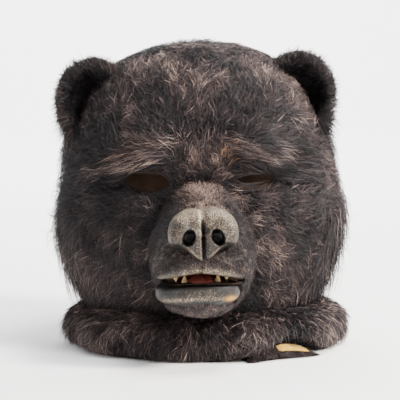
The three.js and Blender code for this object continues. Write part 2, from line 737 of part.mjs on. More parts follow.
function underCollar(solid) {
  const within = COLLAR_PILE + BACKING_THICKNESS + 2 * SEAT_GAP;
  return solid.subtract(collarWall(-SEAT_GAP, within, TURNED_HEM.below));
}

const turnedHem = () => underCollar(hemRamp(0));

const turnedHemBacking = () =>
  underCollar(hemRamp(SEAT_GAP + BACKING_THICKNESS).subtract(hemRamp(SEAT_GAP)));

const head = new THREE.Group();
const collar = new THREE.Group();
const mask = new THREE.Group();
head.rotation.y = -rad(HEAD_LEAN);
head.position.x = HEAD_SHIFT;

head.add(meshOf("head_shell", headShell(), LATEX_BLACK));
head.add(meshOf("head_fur", headFur(), FUR_BLACK));
head.add(meshOf("ear_right", ear(-1), FUR_BLACK));
head.add(meshOf("ear_left", ear(1), FUR_BLACK));
head.add(meshOf("nose", nose(), LATEX_GREY));
head.add(meshOf("upper_lip", upperLip(), LATEX_GREY));
head.add(meshOf("lower_lip", lowerLip(), LATEX_GREY));
head.add(meshOf("mouth_lining", mouthPocket(), MOUTH_RED));
head.add(meshOf("tongue", tongue(), TONGUE_RED));
for (const kind of TEETH) {
  head.add(meshOf(`${kind.name}_right`, tooth(kind, -1), TOOTH_IVORY));
  head.add(meshOf(`${kind.name}_left`, tooth(kind, 1), TOOTH_IVORY));
}
collar.add(meshOf("collar_fur", collarFur(), FUR_BLACK));
collar.add(meshOf("collar_backing", collarBacking(), CLOTH_CREAM));
collar.add(meshOf("turned_hem", turnedHem(), FUR_BLACK));
collar.add(meshOf("turned_hem_backing", turnedHemBacking(), CLOTH_CREAM));
mask.add(head, collar);

// The frame's origin is under the middle of the whole mask, on the table
const bounds = new THREE.Box3().setFromObject(mask, true);
const middle = bounds.getCenter(new THREE.Vector3());
mask.position.set(-middle.x, -middle.y, -bounds.min.z);

export default mask;
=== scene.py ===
"""The looks of the bear mask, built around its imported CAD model.

Sizes are millimetres in the mask's own frame: the neck's axis is upright at x = y = 0, the table
is z = 0, and the face looks along -Y. in_frame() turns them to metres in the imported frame.
"""

import bpy
import numpy as np
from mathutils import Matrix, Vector


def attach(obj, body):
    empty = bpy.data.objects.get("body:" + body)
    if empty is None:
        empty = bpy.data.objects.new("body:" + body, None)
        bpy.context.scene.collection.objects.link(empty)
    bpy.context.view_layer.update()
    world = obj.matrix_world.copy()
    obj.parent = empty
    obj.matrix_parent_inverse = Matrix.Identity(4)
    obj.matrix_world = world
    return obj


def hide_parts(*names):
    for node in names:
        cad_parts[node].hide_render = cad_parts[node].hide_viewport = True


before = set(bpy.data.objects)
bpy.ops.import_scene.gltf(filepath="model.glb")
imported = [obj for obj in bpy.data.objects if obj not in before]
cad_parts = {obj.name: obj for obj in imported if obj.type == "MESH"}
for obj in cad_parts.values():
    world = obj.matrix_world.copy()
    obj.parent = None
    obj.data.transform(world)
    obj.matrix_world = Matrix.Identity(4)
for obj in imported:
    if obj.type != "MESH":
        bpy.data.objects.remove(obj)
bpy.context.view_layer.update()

# Places and sizes shared with the CAD model
NECK_AXIS = np.array([2.77, 24.58, 0.0])  # where the neck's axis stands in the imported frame
LEAN = np.radians(2)  # the soft head leans to the wearer's right
LEAN_SHIFT = -1.0
HEAD = {"half": 120.0, "front": 103.0, "back": 120.0, "height": 294.0}
SNOUT = {"root": 60.0, "front": 176.0, "half": 43.0, "high": 60.0, "axis": 112.0, "taper": 0.3}
SNOUT_SQUARE = 2.4
NOSE = {"half": 32.0, "high": 24.0, "depth": 34.0, "tip": 192.0, "axis": 131.0}
MOUTH_AXIS = 87.0
HANGS = {"upper": 3.0, "gap": 5.0, "lower": 7.0}  # the soft mouth sags to the wearer's right
EYE = {"across": 50.5, "half": 20.5, "high": 9.0, "axis": 172.0}
EAR = {"across": 100.0, "forward": 22.0, "axis": 246.0, "half": 33.0, "high": 38.0}
SHORT_PILE = 12.0
# Shares of the pile at which hairs have their roots and the dark ground lies
ROOTS = 0.34
GROUND = 0.3
GROUND_FOOT = 0.091  # where the ground starts, as a share of the profile
COLLAR = {"half": 141.0, "deep": 128.0, "height": 45.0, "seam": 80.0, "shift": 3.0}
HEM_LIFT = {"height": 17.0, "turn": 36.0, "spread": 17.0}
SEED = 20
SIDES = (("right", -1), ("left", 1))  # the wearer's
# How much each eye's hairless oval is larger than its opening
EYE_TRIM = {"right": -0.5, "left": -5.5}
# Where hair sweeps over the wearer's left eye: how far round it, short of its middle, its way,
# and how much that way fans out with height
VEIL = {"grow": 11.0, "short": 6.0, "way": (0.95, 0.2), "fan": -0.04}

# The head from below the table to the crown: height share, girth share
HEAD_ROWS = np.array([
    (-0.05, 0.72), (0.1, 0.74), (0.21, 0.84), (0.33, 0.94), (0.45, 0.99), (0.57, 1.0),
    (0.68, 0.985), (0.78, 0.93), (0.87, 0.81), (0.94, 0.63), (0.985, 0.35), (1.0, 0.0),
])
# Turn, spread, height, tall, rise of each swell and dent of the face
FACE_RELIEF = [
    (27, 15, 0.67, 0.055, 9), (30, 13, 0.585, 0.05, -10), (0, 9, 0.72, 0.09, -6),
    (62, 24, 0.45, 0.12, 7),
]
# Turn, spread, height, tall, extra pile: cheek ruff, back of the head, throat, then the longer
# and the shorter fur above the cheek
LONG_FUR = [
    (90, 45, 0.38, 0.3, 23), (180, 50, 0.32, 0.3, 14), (0, 40, 0.15, 0.12, 8), (86, 16, 0.68, 0.04, 6),
    (86, 20, 0.78, 0.035, -5),
]
# Reach, width, top and bottom of the snout's sections
SNOUT_ROWS = np.array([
    (0.0, 1.22, 1.02, 1.0), (0.35, 1.09, 0.97, 1.03), (0.62, 0.98, 0.84, 1.05),
    (0.82, 0.89, 0.73, 0.96), (0.94, 0.75, 0.6, 0.7), (1.0, 0.5, 0.4, 0.35), (1.0, 0.0, 0.0, 0.0),
])
# Reach and height shares of the collar's section, from the hem to the neck seam
COLLAR_ROWS = np.array([(0.9, 0.0), (1.0, 0.4), (0.87, 0.82), (0.5, 1.0), (0.0, 0.94)])
# The turned-in hem: middle and half its turn in degrees, how fast its height fades to both
# ends, its slope's reach and height from the foot up, and where along it the cloth shows
HEM = {"turn": 33.0, "half": 17.0, "fade": 1.2}
HEM_ROWS = np.array([(0.9, 6.0), (0.87, 9.0), (0.78, 12.5), (0.68, 16.5), (0.6, 19.0)])
FACING = {"first": -0.1, "last": 0.95}
# Half width of the nose's outline from its point to its top
NOSE_SIDES = np.array([
    (-1.0, 0.2), (-0.85, 0.33), (-0.62, 0.52), (-0.47, 0.64), (-0.38, 0.96), (-0.2, 1.0), (1.0, 1.0),
])
# A nostril's middle from the nose's, its half sizes, its tilt, and how deep it is
NOSTRIL = {"across": 13.3, "up": -2.5, "half": 5.6, "high": 7.6, "tilt": np.radians(24), "deep": 12.0}
# Middle and half sizes of the eggs that the lips and the tongue are melted from
EGGS = {
    "right_lobe": ((-17.5, -159.5, 98), (26.5, 27, 16)),
    "left_lobe": ((17.5, -159.5, 98), (26.5, 27, 16)),
    "upper": ((3, -155, 106), (40, 25, 17)),
    "lower": ((0, -152, 76), (38.5, 26, 11.5)),
    "chin": ((2, -145, 67), (29, 28, 15)),
    "tongue": ((-3, -150, 80), (15, 24, 8.5)),
}
MOUTH_HALF = 43.5
# Height of a lip's edge at the mouth's corners from its axis, and how far it arches up between
LIP_EDGES = {"upper": (-3.6, 10.5), "lower": (-5.9, 3.6)}
# The mouth's lining: half its width and height, its depth, its front and its wall
POCKET = {"half": 34.0, "high": 17.0, "deep": 44.0, "front": -150.0, "wall": 1.6}
TEETH_SHIFT = 3.0  # the teeth sag with the mouth
# Each pair's place across and back, how far the tip is past the mouth's axis, the girth, and 1
# where it grows up or -1 where it grows down
TEETH = {"upper": (24, 18, -2.5, 12, -1), "lower": (16, 18, 4, 10, 1)}
# Tufts on each part of the coat, and the turns that it covers
COATS = {
    "coat_right": (1500, lambda t: (t < -18) & (t > -112)),
    "coat_left": (1500, lambda t: (t > 18) & (t < 112)),
    "coat_front": (700, lambda t: np.abs(t) <= 18),
    "coat_back": (1500, lambda t: np.abs(t) >= 112),
}
# Tufts on the other pieces of fur, and hairs in a tuft of each kind
TUFTS = {"nap": 3000, "ear": 900, "collar": 1200, "hem": 260}
HAIRS = {"guard": 24, "under": 32, "nap": 45, "ear": 14, "collar": 20, "hem": 30}


def unit(vectors):
    """Each vector divided by its own length."""
    return vectors / np.maximum(np.linalg.norm(vectors, axis=-1, keepdims=True), 1e-9)


def joined(*parts):
    """The parts side by side along a new last axis."""
    return np.stack(parts, -1)


def parts_of(rows):
    """The last axis taken apart again."""
    return np.moveaxis(rows, -1, 0)


def bump(distance, spread):
    """e to the power of minus the squared ratio of distance to spread."""
    return np.exp(-((distance / spread) ** 2))


def step(low, high, x):
    """0 below low, 1 above high, and the smooth cubic 3s^2 - 2s^3 between."""
    s = np.clip((x - low) / (high - low), 0, 1)
    return s * s * (3 - 2 * s)


def spline(rows, v, mirror_end=False):
    """A Catmull-Rom curve through the rows: each span is the cubic whose end slopes are half the
    step between the rows on either side. v runs from 0 to 1 over all rows. A mirrored end lets
    the last row cross a pole level."""
    first = 2 * rows[0] - rows[1]
    last = rows[-2] * ([1] + [-1] * (rows.shape[1] - 1)) if mirror_end else 2 * rows[-1] - rows[-2]
    p = np.vstack([first, rows, last])
    x = np.clip(v, 0, 1) * (len(rows) - 1)
    i = np.minimum(x.astype(int), len(rows) - 2)
    t = (x - i)[..., None]
    a, b, c, d = p[i], p[i + 1], p[i + 2], p[i + 3]
    return 0.5 * (2 * b + (c - a) * t + (2 * a - 5 * b + 4 * c - d) * t**2
                  + (3 * b - a - 3 * c + d) * t**3)


def leaned(points):
    """Turns the head's points about the Y axis by the lean and moves them by its shift."""
    x, y, z = points[..., 0], points[..., 1], points[..., 2]
    cos, sin = np.cos(LEAN), np.sin(LEAN)
    return joined(x * cos - z * sin + LEAN_SHIFT, y, x * sin + z * cos)


def upright(points):
    """The collar's points, which stay where they are."""
    return points


def in_frame(points):
    """Millimetres in the mask's frame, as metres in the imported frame."""
    return (points + NECK_AXIS) * 0.001


def turn_of(u):
    """Degrees from the front for a share u of the way round, -180 to 180."""
    return (u * 360 + 180) % 360 - 180


def relief(table, turn, height):
    """Sum of each row's last value times its bumps in turn and in height."""
    return sum(r * bump(np.abs(turn) - t, s) * bump(height - h, tall) for t, s, h, tall, r in table)


def pile_at(u, height):
    """Length of the fur that stands off the head at a place."""
    return SHORT_PILE + relief(LONG_FUR, turn_of(u), height)


def head_at(u, v, share):
    """The head: its profile is a spline through HEAD_ROWS, swept round an oval that is shallower
    in front, plus the face's relief, and pushed outwards along the profile's normal by a share
    of the pile."""
    h, g = parts_of(spline(HEAD_ROWS, v, True))
    g = np.maximum(g, 0)
    e = 2e-3
    dh, dg = parts_of(spline(HEAD_ROWS, v + e, True) - spline(HEAD_ROWS, v - e, True))
    out, up = parts_of(unit(joined(dh * HEAD["height"], -dg * HEAD["half"])))
    grow = share * pile_at(u, h)
    angle = 2 * np.pi * u - np.pi / 2
    radius = g * HEAD["half"] + np.minimum(grow * out, g * 1e3)
    radius = radius + g * relief(FACE_RELIEF, turn_of(u), h)
    depth = np.where(np.sin(angle) < 0, HEAD["front"], HEAD["back"])
    flat = (depth + grow) / (HEAD["half"] + grow)
    return joined(np.cos(angle) * radius, np.sin(angle) * radius * flat,
                  h * HEAD["height"] + grow * up)


def squared(x, power):
    """A cosine or sine pulled towards a box: its size to the power 2 / power."""
    return np.sign(x) * np.abs(x) ** (2 / power)


def snout_at(u, v, grow):
    """The snout: rounded boxes strung along -Y, their half sizes a spline through SNOUT_ROWS."""
    reach, width, top, low = parts_of(spline(SNOUT_ROWS, v))
    width, top, low = (np.maximum(x, 0) for x in (width, top, low))
    angle = 2 * np.pi * u
    across, upward = squared(np.cos(angle), SNOUT_SQUARE), squared(np.sin(angle), SNOUT_SQUARE)
    grown = grow * np.minimum(width * 8, 1)
    half = width * SNOUT["half"] + grown
    high = np.where(upward > 0, top, low) * SNOUT["high"] + grown
    length = SNOUT["front"] - SNOUT["root"] + grow
    return joined(across * half * (1 - SNOUT["taper"] * np.maximum(upward, 0)),
                  -(SNOUT["root"] + reach * length), SNOUT["axis"] + upward * high)


def ear_at(u, v, side):
    """An ear: a cup whose section is a closed profile from the back's middle, round the rim, to
    the bottom of the hollow, swept round an upright oval."""
    rows = np.array([(0.0, 13), (0.45, 12.5), (0.8, 9), (1.0, 2), (0.99, -7), (0.84, -12),
                     (0.68, -9), (0.55, -1), (0.3, 3), (0.0, 4)])
    r, y = parts_of(spline(rows, v))
    angle = 2 * np.pi * u
    r = np.maximum(r, 0)
    return joined(side * (EAR["across"] + np.cos(angle) * r * EAR["half"]), y - EAR["forward"],
                  EAR["axis"] + np.sin(angle) * r * EAR["high"])


def collar_at(u, reach, height):
    """The collar: an oval whose rim has gathers that deepen with the cube of the reach, its inner
    side tilted with the head's lean, and its hem lifted by a bump at the wearer's left front."""
    angle = 2 * np.pi * u - np.pi / 2
    across, deep = np.cos(angle), np.sin(angle)
    gather = 3.2 * reach**3 * np.sin(9 * angle + across * 2)
    radius = COLLAR["seam"] + reach * (COLLAR["half"] - COLLAR["seam"]) + gather
    level = height / COLLAR["height"]
    leans = np.sin(LEAN) * across * radius * np.maximum(1 - reach, 0) * level
    lift = hem_lift(turn_of(u))
    return joined(across * radius, deep * radius * COLLAR["deep"] / COLLAR["half"] + COLLAR["shift"],
                  height + leans + lift * np.maximum(1 - level, 0) * reach)


def collar_skin(u, v, depth):
    """The collar's outer surface moved in by depth along its section's normal, and kept above
    the table: v runs from the hem to the seam."""
    span = COLLAR["half"] - COLLAR["seam"]
    size = np.array([span, COLLAR["height"]])
    at = spline(COLLAR_ROWS, v) * size
    along = unit((spline(COLLAR_ROWS, np.minimum(v + 1e-3, 1)) - spline(COLLAR_ROWS, v - 1e-3)) * size)
    first = (v < 1e-3)[..., None]
    normal = np.where(first, [-1.0, 0.0], joined(-along[..., 1], along[..., 0]))
    moved = at + normal * depth
    return collar_at(u, moved[..., 0] / span, np.maximum(moved[..., 1], 0))


def normal_of(surface, u, v, centre):
    """Cross product of the surface's two central differences, turned away from the centre."""
    e = 1e-3
    across = surface(u + e, v) - surface(u - e, v)
    along = surface(u, np.minimum(v + e, 1)) - surface(u, np.maximum(v - e, 0))
    n = unit(np.cross(across, along))
    away = np.sum(n * (surface(u, v) - centre), axis=-1, keepdims=True)
    return n * np.where(away < 0, -1, 1)


def mesh_piece(name, points, quads, triangles=None, values=None):
    """A mesh from whole arrays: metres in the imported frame, four-sided and three-sided faces as
    rows of corner numbers, and one attribute per named array of point values."""
    mesh = bpy.data.meshes.new(name)
    triangles = np.empty((0, 3), int) if triangles is None else triangles
    corners = np.concatenate([quads.ravel(), triangles.ravel()]).astype(np.int32)
    sizes = np.concatenate([np.full(len(quads), 4), np.full(len(triangles), 3)]).astype(np.int32)
    starts = np.concatenate([[0], np.cumsum(sizes)[:-1]]).astype(np.int32)
    mesh.vertices.add(len(points))
    mesh.vertices.foreach_set("co", in_frame(points).astype(np.float32).ravel())
    mesh.loops.add(len(corners))
    mesh.loops.foreach_set("vertex_index", corners)
    mesh.polygons.add(len(sizes))
    mesh.polygons.foreach_set("loop_start", starts)
    mesh.polygons.foreach_set("use_smooth", np.ones(len(sizes), bool))
    mesh.update(calc_edges=True)
    for key, array in (values or {}).items():
        mesh.attributes.new(key, "FLOAT", "POINT").data.foreach_set("value", array.astype(np.float32))
    piece = bpy.data.objects.new(name, mesh)
    bpy.context.scene.collection.objects.link(piece)
    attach(piece, "root")
    return piece


def grid(columns, rows, closed=True):
    """Shares u and v on a grid; u leaves out its last column where the grid closes on itself."""
    u = np.arange(columns) / columns if closed else np.linspace(0, 1, columns)
    return np.meshgrid(u, np.linspace(0, 1, rows))


def grid_quads(columns, rows, flip=False, rows_closed=False):
    """Corner numbers of the faces of a grid that closes on itself, row by row."""
    c, r = np.meshgrid(np.arange(columns), np.arange(rows if rows_closed else rows - 1))
    right, up = (c + 1) % columns, (r + 1) % rows
    quads = joined(r * columns + c, r * columns + right, up * columns + right,
                   up * columns + c).reshape(-1, 4)
    return quads[:, ::-1] if flip else quads


def capped(points, columns, rows, flip=False):
    """Closes a grid whose first and last rows are poles: each pole row becomes one point."""
    flat = points.reshape(rows, columns, 3)
    inner = flat[1:-1].reshape(-1, 3)
    poles = np.array([flat[0].mean(axis=0), flat[-1].mean(axis=0)])
    count = len(inner)
    quads = grid_quads(columns, rows - 2, flip=flip)
    c = np.arange(columns)
    after = (c + 1) % columns
    low = joined(np.full(columns, count), after, c)
    base = (rows - 3) * columns
    high = joined(np.full(columns, count + 1), base + c, base + after)
    caps = np.concatenate([low, high])
    return np.concatenate([inner, poles]), quads, caps[:, ::-1] if flip else caps


def closed_piece(name, points, columns, rows, values, flip=False):
    """A piece from a grid whose ends are poles, each array of values with one value a pole."""
    out, quads, caps = capped(points, columns, rows, flip)
    kept = {key: np.concatenate([x[1:-1].ravel(), [x[0].mean(), x[-1].mean()]])
            for key, x in values.items()}
    return mesh_piece(name, leaned(out), quads, caps, kept)


def lofted(name, surface, columns, rows, flip=False, values=None):
    """A closed piece from a surface of u and v whose ends are poles."""
    u, v = grid(columns, rows)
    points = surface(u, v)
    return closed_piece(name, points, columns, rows, values(u, v, points) if values else {}, flip)


def star(name, field, centre, size, columns=140, rows=76, values=None):
    """A closed piece seen whole from its centre: along each direction of a globe the radius where
    the field changes sign is found by halving the span again and again."""
    u, v = grid(columns, rows)
    tilt = np.pi * (v - 0.5)
    way = joined(np.cos(tilt) * np.cos(2 * np.pi * u), -np.sin(tilt),
                 np.cos(tilt) * np.sin(2 * np.pi * u)) * np.array(size)
    low, high = np.zeros(u.shape), np.full(u.shape, 1.6)
    for _ in range(24):
        middle = (low + high) / 2
        inside = field(np.array(centre) + way * middle[..., None]) < 0
        low, high = np.where(inside, middle, low), np.where(inside, high, middle)
    points = np.array(centre) + way * low[..., None]
    return closed_piece(name, points, columns, rows, values(points) if values else {})


def egg(p, centre, radii, power=2):
    """Rough distance to an ellipsoid, squarer for a higher power: how far the scaled radius is past
    1, times the least radius."""
    shares = np.abs((p - np.array(centre)) / np.array(radii)) ** power
    return (np.sum(shares, axis=-1) ** (1 / power) - 1) * min(radii)


def melt(a, b, k):
    """Smooth smaller of two distances: the lower one less a quarter of the squared overlap."""
    h = np.maximum(k - np.abs(a - b), 0) / k
    return np.minimum(a, b) - h * h * k / 4


def carve(a, b, k):
    """Smooth larger of two distances."""
    return -melt(-a, -b, k)


# Fur


def scatter(surface, weight, count, rng, v_range=(0, 1)):
    """Random spots on a surface, as many in each cell of a fine grid as the cell's area times its
    weight asks for."""
    columns, rows = 240, 140
    u, v = np.meshgrid(np.arange(columns + 1) / columns, np.linspace(*v_range, rows + 1))
    p = surface(u, v)
    across, along = p[:-1, 1:] - p[:-1, :-1], p[1:, :-1] - p[:-1, :-1]
    area = np.linalg.norm(np.cross(across, along), axis=-1)
    u0, v0 = u[:-1, :-1], v[:-1, :-1]
    share = (area * weight(u0 + 0.5 / columns, v0)).ravel()
    cell = rng.choice(share.size, size=count, p=share / share.sum())
    high = (v_range[1] - v_range[0]) / rows
    return (u0.ravel()[cell] + rng.random(count) / columns, v0.ravel()[cell] + rng.random(count) * high)


def hairs(rng, root, normal, lay, traits, each, segments=2, bend=140.0, clear=None):
    """Tufts of hair as flat tapering blades. Each hair leaves its root along the lay, rises by
    the traits' rise as 1 - (1 - t)^2, follows the body's curve down by s^2 / 2 bend, hangs by
    its droop times t^2, and is drawn towards its tuft's middle line by the pinch as t grows.
    Hairs that clear(points) names are left out."""
    owner = np.repeat(np.arange(len(root)), each)
    count = len(owner)
    n, l = normal[owner], lay[owner]
    side = np.cross(n, l)
    get = {k: (x[owner] if np.ndim(x) else x) for k, x in traits.items()}
    a, b = rng.normal(size=(2, count)) * get["spread"]
    turn = rng.normal(size=count) * get["wild"]
    own = unit(l * np.cos(turn)[:, None] + side * np.sin(turn)[:, None])
    own_side = np.cross(n, own)
    stray = rng.random(count) < 0.02
    length = get["length"] * rng.uniform(0.55, 1.1, count) * np.where(stray, 1.25, 1)
    rise = get["rise"] * rng.uniform(0.4, 1.2, count) * np.where(stray, 1.3, 1)
    width = get["width"] * rng.uniform(0.6, 1.3, count)
    roll = rng.uniform(-1.2, 1.2, count)
    curl = rng.normal(size=count) * get["curl"]
    flat = own_side * np.cos(roll)[:, None] + n * np.sin(roll)[:, None]
    offset = side * a[:, None] + l * b[:, None]
    start = root[owner] + offset - n * ((a * a + b * b) / (2 * bend))[:, None]
    tone = get["tone"] + rng.normal(size=count) * get["mottle"]

    def along(t):
        s = length * t
        p = start + own * s[:, None] - offset * (get["pinch"] * t**1.5)[:, None]
        p = p + n * (rise * (1 - (1 - t) ** 2) - s * s / (2 * bend))[:, None]
        p = p + own_side * (curl * length * t * t)[:, None]
        return p - np.array([0, 0, 1.0]) * (get["droop"] * length * t * t)[:, None]

    kept = np.ones(count, bool)
    if clear is not None:
        for t in (0.35, 0.7, 1.0):
            kept &= ~clear(along(t))
    rows, shade = [], []
    for t in np.linspace(0, 1, segments + 1):
        p, w = along(t), np.interp(t, [0, 0.5, 0.8, 1], [0.8, 1, 0.6, 0])
        level = tone + 0.3 * t - 0.15
        if t == 1:
            rows.append(p[:, None])
            shade.append(level[:, None])
        else:
            half = flat * (width * w / 2)[:, None]
            rows.append(np.stack([p - half, p + half], axis=1))
            shade.append(np.repeat(level[:, None], 2, axis=1))
    points = np.concatenate(rows, axis=1)[kept]
    corners = 2 * segments + 1
    base = (np.arange(len(points)) * corners)[:, None]
    quads = [base + [2 * i, 2 * i + 1, 2 * i + 3, 2 * i + 2] for i in range(segments - 1)]
    quads = np.concatenate([np.empty((0, 4), int), *quads])
    tips = base + [2 * segments - 2, 2 * segments - 1, 2 * segments]
    warm = np.repeat((get["warm"] * np.ones(count))[kept], corners)
    return {"points": points.reshape(-1, 3), "quads": quads, "triangles": tips,
            "values": {"tone": np.concatenate(shade, axis=1)[kept].ravel(), "warm": warm}}


def gathered(parts):
    """Several sets of hair as one: points one after another, corner numbers moved on."""
    shift = np.cumsum([0] + [len(p["points"]) for p in parts[:-1]])
    return {
        "points": np.concatenate([p["points"] for p in parts]),
        "quads": np.concatenate([p["quads"] + s for p, s in zip(parts, shift)]),
        "triangles": np.concatenate([p["triangles"] + s for p, s in zip(parts, shift)]),
        "values": {k: np.concatenate([p["values"][k] for p in parts]) for k in parts[0]["values"]},
    }


def tangent(vectors, normal):
    """The vectors with their part along the normal taken off, and made one long."""
    return unit(vectors - normal * np.sum(vectors * normal, axis=-1, keepdims=True))


def waves(p, seed):
    """A smooth random number from -1 to 1 at each point: a sum of sines of the coordinates along
    random directions, with wavelengths of 25 to 120 mm."""
    rng = np.random.default_rng(seed)
    total = np.zeros(p.shape[:-1])
    for wavelength in (120, 80, 55, 40, 25):
        way = unit(rng.normal(size=3)) * 2 * np.pi / wavelength
        total = total + np.sin(p @ way + rng.uniform(0, 6.28))
    return total / 5


def turned(lay, normal, angle):
    """The lay turned about the normal, by its own angle at each place."""
    return lay * np.cos(angle)[:, None] + np.cross(normal, lay) * np.sin(angle)[:, None]


def swirled(lay, normal, p, amount, seed):
    """The lay turned about the normal by a smooth random angle."""
    return tangent(turned(lay, normal, waves(p, seed) * amount), normal)


def away_from_nose(p, normal, hang):
    """Fur lies away from the nose, and hangs where it is long."""
    away = tangent(p - np.array([0, -SNOUT["front"], NOSE["axis"]]), normal)
    away[:, 2] -= hang
    return tangent(away, normal)


def in_eye(p, grow):
    """Whether points lie in front of either eye opening, grown by some millimetres."""
    e = ((np.abs(p[..., 0]) - EYE["across"]) / (EYE["half"] + grow)) ** 2
    return (e + ((p[..., 2] - EYE["axis"]) / (EYE["high"] + grow)) ** 2 < 1) & (p[..., 1] < 0)


def inside_snout(p, grow):
    """Whether points lie inside the snout's outline, grown by some millimetres."""
    reach = (-p[..., 1] - SNOUT["root"]) / (SNOUT["front"] - SNOUT["root"])
    rows = SNOUT_ROWS[:-1]
    width, top, low = (np.interp(reach, rows[:, 0], rows[:, i]) for i in (1, 2, 3))
    high = np.where(p[..., 2] > SNOUT["axis"], top, low) * SNOUT["high"] + grow
    up = (p[..., 2] - SNOUT["axis"]) / high
    half = (width * SNOUT["half"] + grow) * (1 - SNOUT["taper"] * np.clip(up, 0, 1))
    inside = np.abs(up) ** SNOUT_SQUARE + np.abs(p[..., 0] / half) ** SNOUT_SQUARE < 1
    return inside & (reach < 1) & (p[..., 1] < 0)


def out_of_place(p):
    """Points that hide an eye opening, the wearer's left one less clear, or lie under the table."""
    left = in_eye(p, EYE_TRIM["left"]) & (p[..., 0] > 0)
    right = in_eye(p, EYE_TRIM["right"]) & (p[..., 0] < 0)
    return left | right | (leaned(p)[..., 2] < 1.5)


def head_coat(rng, tufts, wanted):
    """The coat over the part of the head where wanted(turn) holds: longer guard hairs over short
    straight underfur."""
    def body(u, v):
        return head_at(u, v, ROOTS)

    def weight(u, v):
        h = spline(HEAD_ROWS, v, True)[..., 0]
        return wanted(turn_of(u)) * step(0.08, 0.14, h) * (1 + 0.6 * (np.abs(turn_of(u)) < 70))

    u, v = scatter(body, weight, tufts, rng)
    p = body(u, v)
    n = normal_of(body, u, v, np.array([0, 0, 150.0]))
    h = p[:, 2] / HEAD["height"]
    turn = turn_of(u)
    keep = ~in_eye(p, 2.0) & ~inside_snout(p, 2.0)
    u, p, n, h, turn = (x[keep] for x in (u, p, n, h, turn))
    pile = pile_at(u, h)
    long_fur = np.clip((pile - SHORT_PILE) / 23, 0, 1)
    right, ahead = turn < 0, np.abs(turn)
    lay = away_from_nose(p, n, 0.1 + 1.3 * long_fur)
    lay = swirled(lay, n, p, 1.1 - 0.5 * long_fur, 5)
    arc = np.where(right, 0.69 - 0.0021 * (ahead - 13), 0.71 - 0.0019 * (ahead - 8))
    reach = step(4, 14, ahead) * (1 - step(44, 62, ahead))
    brow = bump(h - arc, 0.032) * reach
    sweep = joined(np.sign(turn) * 0.9, np.full(len(p), 0.3), np.full(len(p), -0.3))
    lay = tangent(lay * (1 - brow)[:, None] + sweep * (2.5 * brow)[:, None], n)
    # Hair from the nose side and from above sweeps over the wearer's left eye
    veil = in_eye(p, VEIL["grow"]) & (p[:, 0] > 0)
    veil &= (p[:, 0] < EYE["across"] - VEIL["short"]) | (p[:, 2] > EYE["axis"])
    across, back = (np.full(len(p), x) for x in VEIL["way"])
    over = joined(across, back, VEIL["fan"] * (p[:, 2] - EYE["axis"]))
    lay = np.where(veil[:, None], tangent(over, n), lay)
    brow = np.maximum(brow, veil)
    own = rng.normal(size=len(p)) * (0.35 - 0.28 * brow)
    lay = turned(lay, n, own)
    band = bump(h - arc, 0.017) * reach
    light = band * np.where(right, 1.2, 0.4)
    tan = bump(turn + 28, 7) * bump(h - arc - 0.025, 0.014)
    spark = bump(turn - 12, 3.5) * bump(h - 0.66, 0.01)
    bridge = bump(turn, 9) * bump(h - 0.6, 0.06)
    # Painted shade: hollow marks where the fur's tone is darkened for the shade around both eyes and in
    # the dent above the wearer's right brow
    hollow = bump(ahead - 29, 17) * bump(h - 0.6, 0.04) + bump(turn + 20, 16) * bump(h - 0.77, 0.045)
    # Painted highlight: crown lightens the fur's tone on top of the head, where the lamps above fall
    crown = bump(turn, 75) * bump(h - 0.93, 0.12)
    face = bump(ahead, 42) * bump(h - 0.5, 0.17)
    # In the tone, hollow, the veil over the wearer's left eye under its brow, and the step down the
    # wearer's right side, away from the key lamp, are painted shade
    tone = (0.27 + 0.34 * waves(p, 8) + 0.14 * waves(p * 2.5, 61) + rng.normal(size=len(p)) * 0.19
            + 0.44 * light + 0.16 * crown + 0.25 * bridge + 0.25 * spark + 0.25 * tan
            - 0.22 * hollow - 0.15 * step(25, 60, -turn) - 0.2 * veil)
    lock = long_fur * (rng.random(len(p)) < 0.2)
    size = rng.uniform(0.75, 1.2, len(p)) + 0.5 * lock
    rise = (0.2 + 0.22 * long_fur - 0.08 * crown) * pile + 1.0
    rise = rise * (rng.uniform(0.7, 1.3, len(p)) + 0.5 * lock)
    traits = {
        "length": (17 + 34 * long_fur) * (1 - 0.35 * face) * size + 13 * brow + 9 * veil,
        "rise": rise + 3 * brow + 4 * step(95, 130, ahead),
        "width": 0.41 + 0.13 * long_fur + 0.08 * light, "spread": 3.8,
        "wild": 0.45 - 0.37 * brow, "curl": 0.2 - 0.15 * brow,
        "pinch": np.minimum(rng.uniform(0.1, 0.95, len(p)) + 0.25 * long_fur + 0.4 * lock, 1.05),
        "droop": 0.06 + 0.22 * long_fur, "tone": tone, "mottle": 0.15,
        "warm": np.clip(0.06 + 0.6 * spark + 0.5 * tan + 0.12 * bridge, 0, 1),
    }
    under = {**traits, "length": 9 + 9 * long_fur, "rise": (0.2 + 0.15 * long_fur) * pile,
             "width": 0.5, "wild": 0.7, "tone": tone - 0.06}
    return gathered([hairs(rng, p, n, lay, traits, HAIRS["guard"], clear=out_of_place),
                     hairs(rng, p, n, lay, under, HAIRS["under"], segments=1, clear=out_of_place)])


